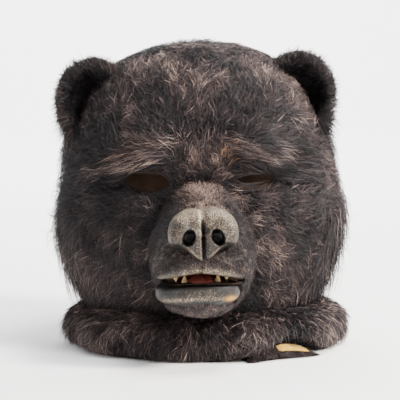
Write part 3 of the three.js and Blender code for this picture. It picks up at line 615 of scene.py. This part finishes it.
def snout_nap(rng):
    """Short hair on the snout and the upper lip, none on the nose and along the lips' edges."""
    def body(u, v):
        return snout_at(u, v, 0.6)

    def weight(u, v):
        return 1 + 3.5 * step(0.5, 0.7, v)

    u, v = scatter(body, weight, TUFTS["nap"], rng, v_range=(0.02, 0.99))
    p = body(u, v)
    n = normal_of(body, u, v, np.array([0, -110.0, SNOUT["axis"]]))
    # Roots inside a lip move out to its skin
    for _ in range(12):
        p = p + n * np.maximum(-np.minimum(upper_lip_field(p), lower_lip_field(p)), 0)[:, None]
    keep = ~over_mouth(p)
    p, n = p[keep], n[keep]
    lay = away_from_nose(p, n, 0.25)
    lay = swirled(lay, n, p, 0.5, 11)
    back = step(-165, -95, p[:, 1])
    front = step(150, 168, -p[:, 1])
    bridge = bump(p[:, 0], 20) * step(125, 150, p[:, 2])
    traits = {
        "length": 5.0 + 14 * back, "rise": 1.0 + 6 * back, "width": 0.38, "spread": 2.0,
        "wild": 0.5, "curl": 0.12, "pinch": rng.uniform(0.0, 0.6, len(p)), "droop": 0.05,
        # The step on the distance from the middle is painted shade, darker down the snout's sides next
        # to the cheeks
        "tone": (0.2 + 0.34 * bridge + 0.22 * waves(p * 1.6, 3) + rng.normal(size=len(p)) * 0.12
                 - 0.1 * step(5, 30, np.abs(p[:, 0])) + 0.16 * front),
        "mottle": 0.25, "warm": 0.1 + 0.08 * bridge,
    }
    return hairs(rng, p, n, lay, traits, HAIRS["nap"], segments=1, bend=60.0, clear=over_mouth)


def over_mouth(p):
    """Points before the nose, a lip's bare edge or the gap between the lips, or over an eye."""
    x, z = p[..., 0] + HANGS["gap"], p[..., 2]
    bare = egg(p, (0, -188, 131), (26, 22, 18)) < 0
    bare |= (lower_lip_field(p) < 1.0) & (z > lip_edge("lower", x) - 18.5)
    bare |= (upper_lip_field(p) < 1.0) & (z < lip_edge("upper", x) + 7)
    return bare | in_gap(p, 43, -140) | out_of_place(p)


def ear_fur(rng, side):
    """Fur that stands out round the ear's rim and over its back, and thin fur in its hollow."""
    def body(u, v):
        return ear_at(u, v, side)

    def weight(u, v):
        return np.where(v > 0.72, 0.5, 1.0)

    u, v = scatter(body, weight, TUFTS["ear"], rng, v_range=(0.02, 0.97))
    p = body(u, v)
    middle = np.array([side * EAR["across"], -EAR["forward"], EAR["axis"]])
    hollow = step(0.55, 0.68, v)
    n = normal_of(body, u, v, middle)
    n = np.where(((hollow > 0.5) & (n[:, 1] > 0))[:, None], -n, n)
    out = unit((p - middle) * [1, 0, 1] + [0, 0, 1e-3])
    lay = tangent(out + np.array([side * 0.25, 0, 0.1]) - n * 0.2, n)
    lay = swirled(lay, n, p, 0.5, 17)
    rim = bump(v - 0.5, 0.14)
    low = step(6, 26, EAR["axis"] - p[:, 2]) * step(-10, 14, side * p[:, 0] - EAR["across"])
    traits = {
        "length": (11 + 3 * rim - 4 * hollow + 9 * low) * rng.uniform(0.7, 1.4, len(p)),
        "rise": 3.0 + 3 * rim, "width": 0.45, "spread": 2.4, "wild": 0.5, "curl": 0.15,
        "pinch": rng.uniform(0.1, 0.9, len(p)), "droop": 0.05 + 0.5 * low,
        # Painted shade: the tone is darker in the ear's hollow
        "tone": 0.3 - 0.4 * hollow + 0.2 * waves(p, 23) + rng.normal(size=len(p)) * 0.08,
        "mottle": 0.16, "warm": 0.12,
    }
    return hairs(rng, p, n, lay, traits, HAIRS["ear"], bend=60.0)


def hem_lift(turn):
    """How high the hem is lifted off the table at a turn."""
    return HEM_LIFT["height"] * bump(turn - HEM_LIFT["turn"], HEM_LIFT["spread"])


def below_hem(p):
    """Points that would hang over the lifted hem's opening."""
    ahead = (COLLAR["shift"] - p[..., 1]) / COLLAR["deep"]
    turn = np.degrees(np.arctan2(p[..., 0] / COLLAR["half"], ahead))
    return (hem_lift(turn) > 1.5) & (p[..., 2] < hem_lift(turn) - 1)


def collar_fur(rng, wanted):
    """Fur over the collar, combed outwards and round it, down to the hem."""
    def body(u, v):
        return collar_skin(u, v, 6.0)

    def weight(u, v):
        return wanted(turn_of(u)) * (1 - 0.7 * step(0.7, 0.9, v))

    u, v = scatter(body, weight, TUFTS["collar"], rng, v_range=(0.01, 0.95))
    p = body(u, v)
    e = 2e-3
    down = unit(body(u, v - e) - body(u, v + e))
    round_ = unit(body(u + e, v) - body(u - e, v))
    n = unit(np.cross(down, round_))
    n = n * np.sign(np.sum(n * (p - [0, 3, 12]), axis=-1, keepdims=True))
    comb = 1.3 * waves(p, 31) + 0.35 * np.sin(np.radians(turn_of(u)))
    lay = unit(down + round_ * comb[:, None])
    hem = 1 - step(0.05, 0.3, v)
    traits = {
        "length": (18 - 7 * hem) * rng.uniform(0.6, 1.4, len(p)),
        "rise": (5.5 - 2 * hem) * rng.uniform(0.6, 1.4, len(p)),
        "width": 0.54, "spread": 3.6, "wild": 0.55, "curl": 0.25,
        "pinch": rng.uniform(0.0, 0.8, len(p)), "droop": 0.06,
        "tone": 0.38 + 0.36 * waves(p, 37) + 0.14 * waves(p * 2.5, 62) + rng.normal(size=len(p)) * 0.1,
        "mottle": 0.2, "warm": 0.04,
    }
    found = hairs(rng, p, n, lay, traits, HAIRS["collar"], bend=60.0, clear=below_hem)
    found["points"][:, 2] = np.maximum(found["points"][:, 2], 0.4)
    return found


def fur_piece(name, found, place=leaned):
    """A set of hairs as a piece, turned with the head or left where the collar is."""
    return mesh_piece(name, place(found["points"]), found["quads"], found["triangles"], found["values"])


# Nose, lips and mouth


def nose_at(u, v):
    """The nose pad: a spline of sizes from its back to its tip round a rounded outline that is
    drawn in below its wings to a point. Pits, slits and a groove are then pushed in along +Y, and
    the wings and the edges beside them pushed out."""
    rows = np.array([(0.0, 0.0), (0.0, 0.6), (0.25, 0.84), (0.5, 1.0), (0.78, 0.96), (0.95, 0.8),
                     (1.01, 0.5), (1.0, 0.25), (0.985, 0.0)])
    reach, size = parts_of(spline(rows, v))
    size = np.maximum(size, 0)
    angle = 2 * np.pi * u
    across, upward = squared(np.cos(angle), 2.3), squared(np.sin(angle), 2.3)
    drawn = np.interp(upward, *NOSE_SIDES.T)
    x = across * drawn * size * NOSE["half"]
    high = size * NOSE["high"] * np.where(upward < 0, 1.12, 1)
    high = high - 2.6 * bump(x, 7) * np.maximum(upward, 0) * size
    z = NOSE["axis"] + upward * high
    y = (7 * np.maximum(upward, 0) + 7 * np.maximum(-upward, 0) ** 1.5) * reach
    y = y - (NOSE["tip"] - NOSE["depth"] + reach * NOSE["depth"])
    return joined(x, y + nose_relief(x, z) * step(0.5, 0.8, reach), z)


def nose_parts(x, z):
    """Shares from 0 to 1 of each feature of the nose's front at a place."""
    ax, up = np.abs(x), z - NOSE["axis"]
    cos, sin = np.cos(NOSTRIL["tilt"]), np.sin(NOSTRIL["tilt"])
    a, b = ax - NOSTRIL["across"], up - NOSTRIL["up"]
    across, along = (a * cos + b * sin) / NOSTRIL["half"], (b * cos - a * sin) / NOSTRIL["high"]
    pit = 1 - step(0.72, 1.12, np.hypot(across, along))
    curve = up + 9.5 - 0.012 * (ax - 26) ** 2
    slit = bump(curve, 1.5) * step(15, 19, ax)
    groove = bump(x, 1.3) * (1 - step(8, 15, up)) * step(-30, -24, up)
    edge = bump(ax - (1 + 0.95 * (up + 26)), 2.2) * step(-27, -23, up) * (1 - step(-14, -9, up))
    wing = bump(np.hypot(ax - 20, up - 3) - 9, 5) * step(12, 20, ax)
    rim = step(8, 17, up)
    return {"pit": pit, "slit": slit, "groove": groove, "edge": edge, "wing": wing, "rim": rim}


def nose_relief(x, z):
    """Millimetres pushed in, positive towards +Y."""
    f = nose_parts(x, z)
    return (NOSTRIL["deep"] * f["pit"] + 2.6 * f["slit"] + 2.4 * f["groove"] - 1.3 * f["edge"]
            - 1.6 * f["wing"] - 1.2 * bump(np.abs(x) - 5.5, 4) * (1 - f["pit"]))


def nose_values(u, v, points):
    """Where dry brushing leaves the light paint on the nose, with painted highlights along its top and
    beside its groove, and where it is dark inside.
    """
    f = nose_parts(points[..., 0], points[..., 2])
    front = step(0.45, 0.75, v)
    x = points[..., 0]
    below = 1 - step(-14, -4, points[..., 2] - NOSE["axis"])
    # The rim share is a painted highlight along the nose's top, where the lamps above fall
    worn = 0.16 * f["rim"] + 0.24 * f["edge"] + 0.04 * f["wing"] - 0.08 * below - 0.37
    # The bump just beside the groove, on the wearer's right, is a painted highlight on the groove's
    # wall that faces the key lamp
    worn = worn + 0.1 * waves(points * 2.5, 50) + 0.25 * bump(x + 2.6, 1.0) - 0.04
    dark = np.clip(f["pit"] + 0.8 * f["slit"] + 0.75 * f["groove"], 0, 1) * front
    return {"worn": worn, "dark": dark}


def lip_edge(lip, x):
    """Height of a lip's edge: an arch over the mouth's middle."""
    corner, arch = LIP_EDGES[lip]
    return MOUTH_AXIS + corner + arch * (1 - (x / MOUTH_HALF) ** 2)


def in_gap(p, half, front):
    """Points between the lips' edges, within half a width and before a place along Y."""
    x, z = p[..., 0] + HANGS["gap"], p[..., 2]
    between = (z > lip_edge("lower", x) - 1) & (z < lip_edge("upper", x) + 1)
    return between & (np.abs(x) < half) & (p[..., 1] < front)


def upper_lip_field(p):
    """Two lobes that melt into each other, cut off along the arched edge, with a groove down the
    middle."""
    p = p + np.array([HANGS["upper"], 0, 0])
    x, z = p[..., 0], p[..., 2]
    body = melt(egg(p, *EGGS["right_lobe"]), egg(p, *EGGS["left_lobe"]), 9)
    body = melt(body, egg(p, *EGGS["upper"]), 10)
    cut = carve(body, lip_edge("upper", x + HANGS["gap"] - HANGS["upper"]) - z, 5)
    return cut + 1.3 * bump(x, 1.8) * step(92, 97, z)


def lower_lip_field(p):
    """A rounded bar cut off along the lower edge, melting into the chin below it."""
    p = p + np.array([HANGS["lower"], 0, 0])
    x, z = p[..., 0], p[..., 2]
    bar = melt(egg(p, *EGGS["lower"], power=3), egg(p, *EGGS["chin"]), 9)
    return carve(bar, z - lip_edge("lower", x + HANGS["gap"] - HANGS["lower"]), 3)


def lip_values(points):
    """Dry-brushed light paint along the lips' edges and on the lower lip, dark above and inside the
    mouth, with painted light on the lower lip: a highlight in its middle, shade just under the mouth,
    and a warm highlight at its end on the wearer's left.
    """
    x, z = points[..., 0] + HANGS["gap"], points[..., 2]
    above, below = z - lip_edge("upper", x), lip_edge("lower", x) - z
    upper = above > below
    near = np.where(upper, above, below)
    # On the lower lip the second bump is a painted highlight in its middle, and the step near the mouth
    # is painted shade just under it
    lower_lip_paint_and_light = (0.36 * bump(near - 13.5, 3.2) + 0.22 * bump(near - 7, 3) * bump(x - 6, 20)
              - 0.25 * (1 - step(1, 6, near)) - 0.7 * step(16, 19, near))
    worn = np.where(upper, 0.18 * bump(near - 3.5, 3.5) - 0.46, lower_lip_paint_and_light - 0.58)
    worn = worn + 0.12 * waves(points * 2.5, 51)
    inner = (1 - step(0.2, 2.5, near)) * step(-184, -172, points[..., 1])
    # A warm painted highlight at the lower lip's end on the wearer's left, the side the key lamp lights
    peach = 0.8 * bump(x - 29, 5) * bump(near - 14, 2.6) * ~upper
    return {"worn": worn, "dark": np.clip(inner, 0, 1), "peach": peach}


def pocket_at(u, v):
    """The mouth's lining: half an ellipsoid open to the front, its outer side from the front rim
    to the back, then its inner side, ridged above, back to the rim."""
    tilt = np.clip(np.where(v < 0.5, v * np.pi, (1 - v) * np.pi) + 0.62, 0, np.pi / 2)
    inner = step(0.48, 0.52, v) * POCKET["wall"]
    angle = 2 * np.pi * u
    radius = np.cos(tilt)
    ridges = 0.5 * np.sin(tilt * 26) * step(0.5, 0.55, v) * np.maximum(np.sin(angle), 0)
    return joined(radius * (POCKET["half"] - inner) * np.cos(angle),
                  POCKET["front"] + np.sin(tilt) * (POCKET["deep"] - inner),
                  MOUTH_AXIS + radius * (POCKET["high"] - inner - ridges) * np.sin(angle))


def tooth_at(kind, side):
    """A canine: a cone whose girth shrinks by 1 - v^2.6 and whose tip curves back."""
    across, back, tip, girth, grows = kind

    def surface(u, v):
        angle = 2 * np.pi * u
        root = 14.0
        length = root + grows * tip
        half = girth / 2 * (1 - v**2.6) * np.minimum(v * 12, 1)
        lean = 1.6 * v * v
        return joined(side * (across - 0.8 * v) + np.cos(angle) * half * 0.8 - TEETH_SHIFT,
                      back - SNOUT["front"] + lean + grows * np.sin(angle) * half,
                      MOUTH_AXIS + grows * (v * length - root))
    return surface


def tongue_field(p):
    """A flattened egg with a groove along its middle and a slightly raised tip."""
    return egg(p, *EGGS["tongue"]) + 1.4 * bump(p[..., 0], 2.6) * step(80, 86, p[..., 2])


# Materials


def colour(hex_value):
    """An sRGB hex value as linear red, green, blue and alpha: below 0.04045 a channel is divided
    by 12.92, and above it is ((c + 0.055) / 1.055) to the power 2.4."""
    c = np.array([int(hex_value[i:i + 2], 16) / 255 for i in (1, 3, 5)])
    linear = np.where(c <= 0.04045, c / 12.92, ((c + 0.055) / 1.055) ** 2.4)
    return (*linear, 1.0)


SHADER = "Principled BSDF"
COLOURS = {"data_type": "RGBA"}
WEIGHTED = {"operation": "MULTIPLY_ADD"}


def new_material(name, **inputs):
    """A material of one Principled shader, with some of its inputs set."""
    material = bpy.data.materials.new(name)
    material.use_nodes = True
    add_node(material, SHADER, **inputs)
    return material


def add_node(material, kind, settings=None, stops=(), **inputs):
    """Adds a node of a kind, or takes the shader that the material starts with. Sets its
    properties and its colours' stops, sets or links each input that is named or numbered (i6 is
    the seventh), and gives its outputs."""
    nodes = material.node_tree.nodes
    node = nodes[SHADER] if kind == SHADER else nodes.new("ShaderNode" + kind)
    for key, value in (settings or {}).items():
        setattr(node, key, value)
    if stops:
        ramp = node.color_ramp.elements
        ramp.remove(ramp[1])
        for i, (place, hex_value) in enumerate(stops):
            element = ramp[0] if i == 0 else ramp.new(place)
            element.position = place
            element.color = colour(hex_value)
    for key, value in inputs.items():
        socket = node.inputs[int(key[1:]) if key[1:].isdigit() else key.replace("_", " ")]
        if isinstance(value, bpy.types.NodeSocket):
            material.node_tree.links.new(value, socket)
        else:
            socket.default_value = value
    return node.outputs


# Repeats of each pattern in a metre
REPEATS = {
    "wool": 400.0,  # clumps of fibre, 2.5 mm
    "pores": 1000.0,  # about 0.4 mm on the real mask, drawn at 1 mm so that they show
    "speckle": 1000.0,  # where dry paint caught on the pores, at their scale
    "blotch": 130.0,  # uneven hand painting, 8 mm
    "wet_blotch": 220.0,  # uneven paint under the varnish, 4.5 mm
    "cloud": 35.0,  # where latex pooled in the mould, 30 mm
    "loops": 620.0,  # stitches about 1 mm apart on the real cloth, drawn at 1.6 mm so that they show
    "fading": 60.0,  # uneven dye, 17 mm
}


def faux_fur():
    """Modacrylic pile, knitted and brushed: fine dark fibres, each a little shiny and paler
    towards its tip, with tan ones at the brows."""
    material = new_material("modacrylic_fur_brushed", Roughness=0.55, IOR=1.5, Specular_IOR_Level=0.25)
    tone = add_node(material, "Attribute", {"attribute_name": "tone"})["Fac"]
    warm = add_node(material, "Attribute", {"attribute_name": "warm"})["Fac"]
    black = add_node(material, "ValToRGB", Fac=tone, stops=[
        (0.0, "#070508"), (0.3, "#171216"), (0.55, "#32292b"), (0.8, "#645552"), (1.0, "#9b8a81")])
    tan = add_node(material, "ValToRGB", Fac=tone, stops=[
        (0.0, "#0b0806"), (0.3, "#20160f"), (0.55, "#4a3322"), (0.8, "#8a6240"), (1.0, "#b88a58")])
    mixed = add_node(material, "Mix", COLOURS, i0=warm, i6=black["Color"], i7=tan["Color"])[2]
    add_node(material, SHADER, Base_Color=mixed)
    return material


def clouded(material, scale, detail, stops, strength, distance):
    """Colours a material by a noise and raises bumps by the same noise."""
    place = add_node(material, "TexCoord")["Object"]
    cloud = add_node(material, "TexNoise", Vector=place, Scale=scale, Detail=detail)["Fac"]
    tint = add_node(material, "ValToRGB", Fac=cloud, stops=stops)["Color"]
    bumps = add_node(material, "Bump", Height=cloud, Strength=strength, Distance=distance)
    add_node(material, SHADER, Base_Color=tint, Normal=bumps["Normal"])
    return material


def undercoat():
    """The fur's dense woolly ground: no shine, near black, mottled by the tufts' roots."""
    material = new_material("modacrylic_undercoat", Roughness=1.0, IOR=1.4, Specular_IOR_Level=0.1)
    return clouded(material, REPEATS["wool"], 3.0, [(0.35, "#060506"), (0.7, "#141113")], 0.6, 0.002)


def wet_latex(name, deep, pale, coat):
    """Latex painted and varnished to look wet: a clear gloss over blotchy colour."""
    material = new_material(name, Roughness=0.35, IOR=1.5, Coat_Weight=coat, Coat_Roughness=0.12)
    return clouded(material, REPEATS["wet_blotch"], 4.0, [(0.3, deep), (0.7, pale)], 0.4, 0.001)


def bare_latex():
    """Natural latex, slush cast and tinted: matt, dark brown, cloudy where it pooled."""
    material = new_material("natural_latex_cast", Roughness=0.9, IOR=1.52, Specular_IOR_Level=0.1)
    return clouded(material, REPEATS["cloud"], 6.0, [(0.3, "#1c1512"), (0.7, "#392c24")], 0.5, 0.002)


def painted_latex(name, dark, middle, light, rough):
    """Moulded latex, painted dark and dry brushed: the light paint catches on the pores' edges
    and on raised edges, and stays out of pits. Its paint attribute also carries painted highlights and
    painted shade, and a warm painted highlight is mixed in where its attribute asks."""
    material = new_material(name, Roughness=rough, IOR=1.52, Specular_IOR_Level=0.28)
    place = add_node(material, "TexCoord")["Object"]
    pores = add_node(material, "TexVoronoi", Vector=place, Scale=REPEATS["pores"])["Distance"]
    blotch = add_node(material, "TexNoise", Vector=place, Scale=REPEATS["blotch"], Detail=4.0)["Fac"]
    speckle = add_node(material, "TexNoise", Vector=place, Scale=REPEATS["speckle"], Detail=3.0)["Fac"]
    worn, pits, peach = (add_node(material, "Attribute", {"attribute_name": key})["Fac"]
                         for key in ("worn", "dark", "peach"))
    paint = worn
    for part, share in ((speckle, 1.4), (blotch, 0.3), (pits, -1.0)):
        paint = add_node(material, "Math", WEIGHTED, i0=part, i1=share, i2=paint)["Value"]
    grey = add_node(material, "ValToRGB", Fac=paint, stops=[
        (0.1, "#050404"), (0.38, dark), (0.6, middle), (0.95, light)])["Color"]
    # The warm colour mixed in here is a painted highlight
    grey_and_highlight = add_node(material, "Mix", COLOURS, i0=peach, i6=grey, i7=colour("#b98224"))[2]
    grain = add_node(material, "Math", WEIGHTED, i0=pores, i1=0.6, i2=speckle)["Value"]
    bumps = add_node(material, "Bump", Height=grain, Strength=0.5, Distance=0.0006)["Normal"]
    add_node(material, SHADER, Base_Color=grey_and_highlight, Normal=bumps)
    return material


def knit_backing():
    """Cream polyester knit, the fur's backing: small loops, matt and a little fuzzy."""
    material = new_material("polyester_knit_cream", Roughness=0.95, IOR=1.5, Sheen_Weight=0.3)
    place = add_node(material, "TexCoord")["Object"]
    loops = add_node(material, "TexVoronoi", Vector=place, Scale=REPEATS["loops"])["Distance"]
    fading = add_node(material, "TexNoise", Vector=place, Scale=REPEATS["fading"], Detail=4.0)["Fac"]
    tint = add_node(material, "ValToRGB", Fac=fading, stops=[
        (0.3, "#9c7818"), (0.65, "#c09832")])["Color"]
    bumps = add_node(material, "Bump", Height=loops, Strength=0.5, Distance=0.0008)["Normal"]
    add_node(material, SHADER, Base_Color=tint, Normal=bumps)
    return material


def tooth_resin():
    """Cast resin tooth: ivory, stained brown towards the gum, polished."""
    material = new_material("resin_tooth_polished", Roughness=0.25, IOR=1.53,
                            Subsurface_Weight=0.15, Subsurface_Scale=0.002)
    stain = add_node(material, "Attribute", {"attribute_name": "stain"})["Fac"]
    tint = add_node(material, "ValToRGB", Fac=stain, stops=[
        (0.0, "#e8d3a4"), (0.55, "#c9985a"), (1.0, "#5d3016")])["Color"]
    add_node(material, SHADER, Base_Color=tint)
    return material


def dress(piece, material, slot, *nodes):
    """Gives a piece its finish and hides the CAD parts that it replaces."""
    piece.data.materials.clear()
    piece.data.materials.append(material)
    if nodes:
        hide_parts(*nodes)
    return piece


fur_finish = faux_fur()
ground_finish = undercoat()
grey_finish = painted_latex("latex_dry_brushed_grey", "#15110e", "#4a4035", "#ad9d86", 0.5)
slate_finish = painted_latex("latex_dry_brushed_slate", "#14110e", "#3f3831", "#a8957a", 0.42)
red_finish = wet_latex("latex_varnished_red", "#6a1a12", "#c04434", 0.5)
tongue_finish = wet_latex("latex_varnished_tongue", "#a03a30", "#dc8474", 0.6)
tooth_finish = tooth_resin()
knit_finish = knit_backing()
shell_finish = bare_latex()

# The ground under the fur


def head_ground(u, v):
    """The head under its pile, from the neck up to the crown."""
    return head_at(u, GROUND_FOOT + (1 - GROUND_FOOT) * v, GROUND)


def opened(points, columns, rows):
    """A head grid's points, and its faces without those that touch an eye or the snout's inside."""
    p = points.reshape(-1, 3)
    hole = in_eye(p, 2.0) | inside_snout(p, -6.0)
    quads = grid_quads(columns, rows)
    return p, quads[~hole[quads].any(axis=1)]


def shell_piece(name, points, quads, thickness):
    """A sheet of faces given a wall by Solidify, inwards from the outer side."""
    used = np.unique(quads)
    number = np.full(points.shape[0], -1)
    number[used] = np.arange(len(used))
    piece = mesh_piece(name, leaned(points[used]), number[quads])
    wall = piece.modifiers.new("wall", "SOLIDIFY")
    wall.thickness = thickness * 0.001
    wall.offset = -1.0
    return piece


columns, rows = 140, 80
u, v = grid(columns, rows)
points, quads = opened(head_ground(u, v), columns, rows)
coat_ground = shell_piece("coat_ground", points, quads, thickness=2.5)

columns, rows = 120, 64
u, v = grid(columns, rows)
points = snout_at(u, v, 0.3).reshape(-1, 3)
quads = grid_quads(columns, rows)
quads = quads[~in_gap(points, 42, -142)[quads].any(axis=1)]
snout_ground = shell_piece("snout_ground", points, quads, thickness=1.5)


def collar_body(outer, inner):
    """A closed ring between two depths under the collar's surface."""
    columns, rows = 160, 20
    u, v = grid(columns, rows)
    shell = np.concatenate([collar_skin(u, v, outer), collar_skin(u, v, inner)[::-1]])
    return shell.reshape(-1, 3), grid_quads(columns, 2 * rows, rows_closed=True)


points, quads = collar_body(outer=6.0, inner=12.0)
collar_ground = mesh_piece("collar_ground", points, quads)
points, quads = collar_body(outer=12.3, inner=14.1)
collar_lining = mesh_piece("collar_lining", points, quads)

rng = np.random.default_rng(SEED)
coats = [fur_piece(name, head_coat(rng, tufts, wanted)) for name, (tufts, wanted) in COATS.items()]
nap = fur_piece("snout_nap", snout_nap(rng))
ears = {side: fur_piece(f"ear_fur_{name}", ear_fur(rng, side)) for name, side in SIDES}
ear_cups = {
    side: lofted(f"ear_cup_{name}", lambda u, v, side=side: ear_at(u, v, side), 64, 40, flip=side < 0)
    for name, side in SIDES
}
collars = [fur_piece(f"collar_fur_{name}", collar_fur(rng, wanted), upright)
           for name, wanted in (("right", lambda t: t <= 0), ("left", lambda t: t > 0))]


def hem_at(along, reach, height):
    """A place on the turned-in hem: along runs from -1 to 1 over its turn, and its height fades
    by the cosine and goes to nothing at both ends."""
    place = collar_at((HEM["turn"] + along * HEM["half"]) / 360, reach, np.zeros_like(reach))
    place[..., 2] = height * np.cos(along * HEM["fade"]) * (1 - step(0.75, 1.0, np.abs(along)))
    return place


def hem_band(raised, depth, first, last):
    """A closed band along the hem's slope from first to last: its top side stands raised over
    HEM_ROWS and its under side depth below that."""
    columns, rows = 24, 60
    u, v = grid(columns, rows, closed=False)
    along = first + (last - first) * v
    reach, height = parts_of(spline(HEM_ROWS, u))
    height = height + raised * np.minimum(np.minimum(v, 1 - v) * 12, 1)
    top, under = hem_at(along, reach, height), hem_at(along, reach, height - depth)
    under[..., 2] = np.maximum(under[..., 2], 0.2)
    ring = np.concatenate([top, under[:, ::-1]], axis=1)
    half = np.arange(columns - 1)
    start = joined(half, half + 1, 2 * columns - 2 - half, 2 * columns - 1 - half)
    end = (start + (rows - 1) * 2 * columns)[:, ::-1]
    return ring.reshape(-1, 3), np.concatenate([grid_quads(2 * columns, rows), start, end])


def hem_fur(rng):
    """Short fur on the turned-in hem, down its foot and over the end that shows no cloth."""
    tufts = TUFTS["hem"]
    along, share = rng.uniform(-1, 1, tufts), rng.uniform(0, 1, tufts)
    share = np.where(along > FACING["first"], share * 0.18, share)
    reach, height = parts_of(spline(HEM_ROWS, share))
    p = hem_at(along, reach, height)
    out = unit((p - [0, COLLAR["shift"], 0]) * [1, 1, 0])
    n = unit(out * 0.6 + [0, 0, 0.8])
    lay = tangent(out + [0, 0, -0.6] + rng.normal(size=(tufts, 3)) * 0.4, n)
    traits = {"length": 7.0, "rise": 1.5, "width": 0.45, "spread": 2.0, "wild": 0.6, "curl": 0.2,
              "pinch": rng.uniform(0.0, 0.8, tufts), "droop": 0.1,
              "tone": 0.35 + rng.normal(size=tufts) * 0.12, "mottle": 0.2, "warm": 0.04}
    found = hairs(rng, p, n, lay, traits, HAIRS["hem"], segments=1, bend=40.0)
    found["points"][:, 2] = np.maximum(found["points"][:, 2], 0.4)
    return found


points, quads = hem_band(raised=0.0, depth=8.0, first=-1.0, last=1.0)
hem_roll = mesh_piece("hem_roll", points, quads)
points, quads = hem_band(raised=1.4, depth=1.3, **FACING)
hem_facing = mesh_piece("hem_facing", points, quads)
hem_nap = fur_piece("hem_nap", hem_fur(rng), upright)

nose = lofted("nose_pad", nose_at, 180, 110, values=nose_values)
upper_lip = star("upper_lip_lobes", upper_lip_field, centre=(-2, -156, 101), size=(46, 34, 20),
                 values=lip_values)
lower_lip = star("lower_lip_bar", lower_lip_field, centre=(-7, -148, 72), size=(40, 28, 18),
                 values=lip_values)
lining = lofted("mouth_pocket", pocket_at, 96, 60)
tongue = star("tongue_form", tongue_field, centre=(-3, -150, 79.5), size=(17, 27, 10), columns=96,
              rows=60)
for pair, kind in TEETH.items():
    for name, side in SIDES:
        tooth = lofted(f"{pair}_canine_cone_{name}", tooth_at(kind, side), 40, 40, flip=kind[4] < 0,
                       values=lambda u, v, p: {"stain": 1 - v})
        dress(tooth, tooth_finish, "tooth_ivory", f"{pair}_canine_{name}")

for piece in coats:
    dress(piece, fur_finish, "black_fur", "head_fur")
for piece in (nap, hem_nap, *collars, *ears.values()):
    dress(piece, fur_finish, "black_fur")
for piece in (coat_ground, snout_ground, collar_ground, *ear_cups.values()):
    dress(piece, ground_finish, "black_fur")
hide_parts("head_fur")
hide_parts("ear_right")
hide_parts("ear_left")
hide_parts("collar_fur")
dress(collar_lining, knit_finish, "cream_cloth", "collar_backing")
dress(hem_facing, knit_finish, "cream_cloth", "turned_hem_backing")
dress(hem_roll, ground_finish, "black_fur", "turned_hem")
dress(nose, grey_finish, "grey_latex", "nose")
dress(upper_lip, grey_finish, "grey_latex", "upper_lip")
dress(lower_lip, slate_finish, "grey_latex", "lower_lip")
dress(lining, red_finish, "mouth_red", "mouth_lining")
dress(tongue, tongue_finish, "tongue_red", "tongue")

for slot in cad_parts["head_shell"].material_slots:
    slot.material = shell_finish

# Floor, light and camera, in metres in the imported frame

# Place, aim, side, power in watts and colour of each lamp
LAMPS = {
    "key": ((1.6, -1.0, 1.6), (0.0, 0.0, 0.15), 0.5, 185.0, "#fff8f0"),
    "fill": ((0.3, -2.2, 1.0), (0.0, 0.0, 0.12), 1.0, 3.0, "#f4f2ff"),
    "top": ((0.5, -0.3, 2.0), (0.0, 0.0, 0.2), 0.7, 60.0, "#ffffff"),
    "wall": ((0.0, 1.6, 2.6), (0.0, 4.0, 0.5), 1.6, 320.0, "#ffffff"),
    "table_glow": ((0.0, 0.03, 0.01), (0.0, 0.03, 0.3), 0.08, 0.5, "#fff6ea"),
}
# Radius of the paper's flat part and of its bend, and the height of its wall
PAPER = {"flat": 3.0, "bend": 1.0, "top": 3.0}
CAMERA = {"place": (-0.036, -1.865, 0.342), "aim": (-0.0026, 0.0246, 0.143), "lens": 170.97}


def area_light(name, place, aim, size, power, tint):
    """A square lamp at a place, turned towards its aim."""
    lamp = bpy.data.lights.new(name, "AREA")
    lamp.size = size
    lamp.energy = power
    lamp.color = colour(tint)[:3]
    holder = bpy.data.objects.new(name, lamp)
    holder.location = place
    holder.rotation_euler = (Vector(aim) - Vector(place)).to_track_quat("-Z", "Y").to_euler()
    bpy.context.scene.collection.objects.link(holder)


def paper_sweep():
    """White paper laid flat in a circle, turned up all round in a quarter circle into a wall."""
    turn, flat, bend = np.linspace(-np.pi / 2, 0, 24), PAPER["flat"], PAPER["bend"]
    radius = np.concatenate([[1e-3, flat / 2], flat + bend * np.cos(turn), [flat + bend]])
    height = np.concatenate([[0.0, 0.0], bend + bend * np.sin(turn), [PAPER["top"]]])
    columns, rows = 96, len(radius)
    angle = 2 * np.pi * grid(columns, rows)[0]
    out, up = (np.repeat(x[:, None], columns, axis=1) for x in (radius, height))
    points = joined(out * np.cos(angle), out * np.sin(angle), up).reshape(-1, 3)
    mesh = bpy.data.meshes.new("paper")
    mesh.from_pydata(points.tolist(), [], grid_quads(columns, rows).tolist())
    mesh.polygons.foreach_set("use_smooth", np.ones(len(mesh.polygons), bool))
    paper = bpy.data.objects.new("paper", mesh)
    bpy.context.scene.collection.objects.link(paper)
    finish = new_material("studio_paper_white", Roughness=0.9, Base_Color=colour("#fbfbfb"))
    mesh.materials.append(finish)


paper_sweep()
world = bpy.data.worlds.new("studio")
world.use_nodes = True
sky = world.node_tree.nodes["Background"].inputs
sky["Color"].default_value = colour("#f6f6ff")
sky["Strength"].default_value = 0.22
bpy.context.scene.world = world
for name, lamp in LAMPS.items():
    area_light(name, *lamp)

camera = bpy.data.cameras.new("camera")
camera.lens = CAMERA["lens"]
camera.sensor_width = 36.0
eye = bpy.data.objects.new("camera", camera)
eye.location = CAMERA["place"]
line_of_sight = Vector(CAMERA["aim"]) - eye.location
eye.rotation_euler = line_of_sight.to_track_quat("-Z", "Y").to_euler()
bpy.context.scene.collection.objects.link(eye)
bpy.context.scene.camera = eye
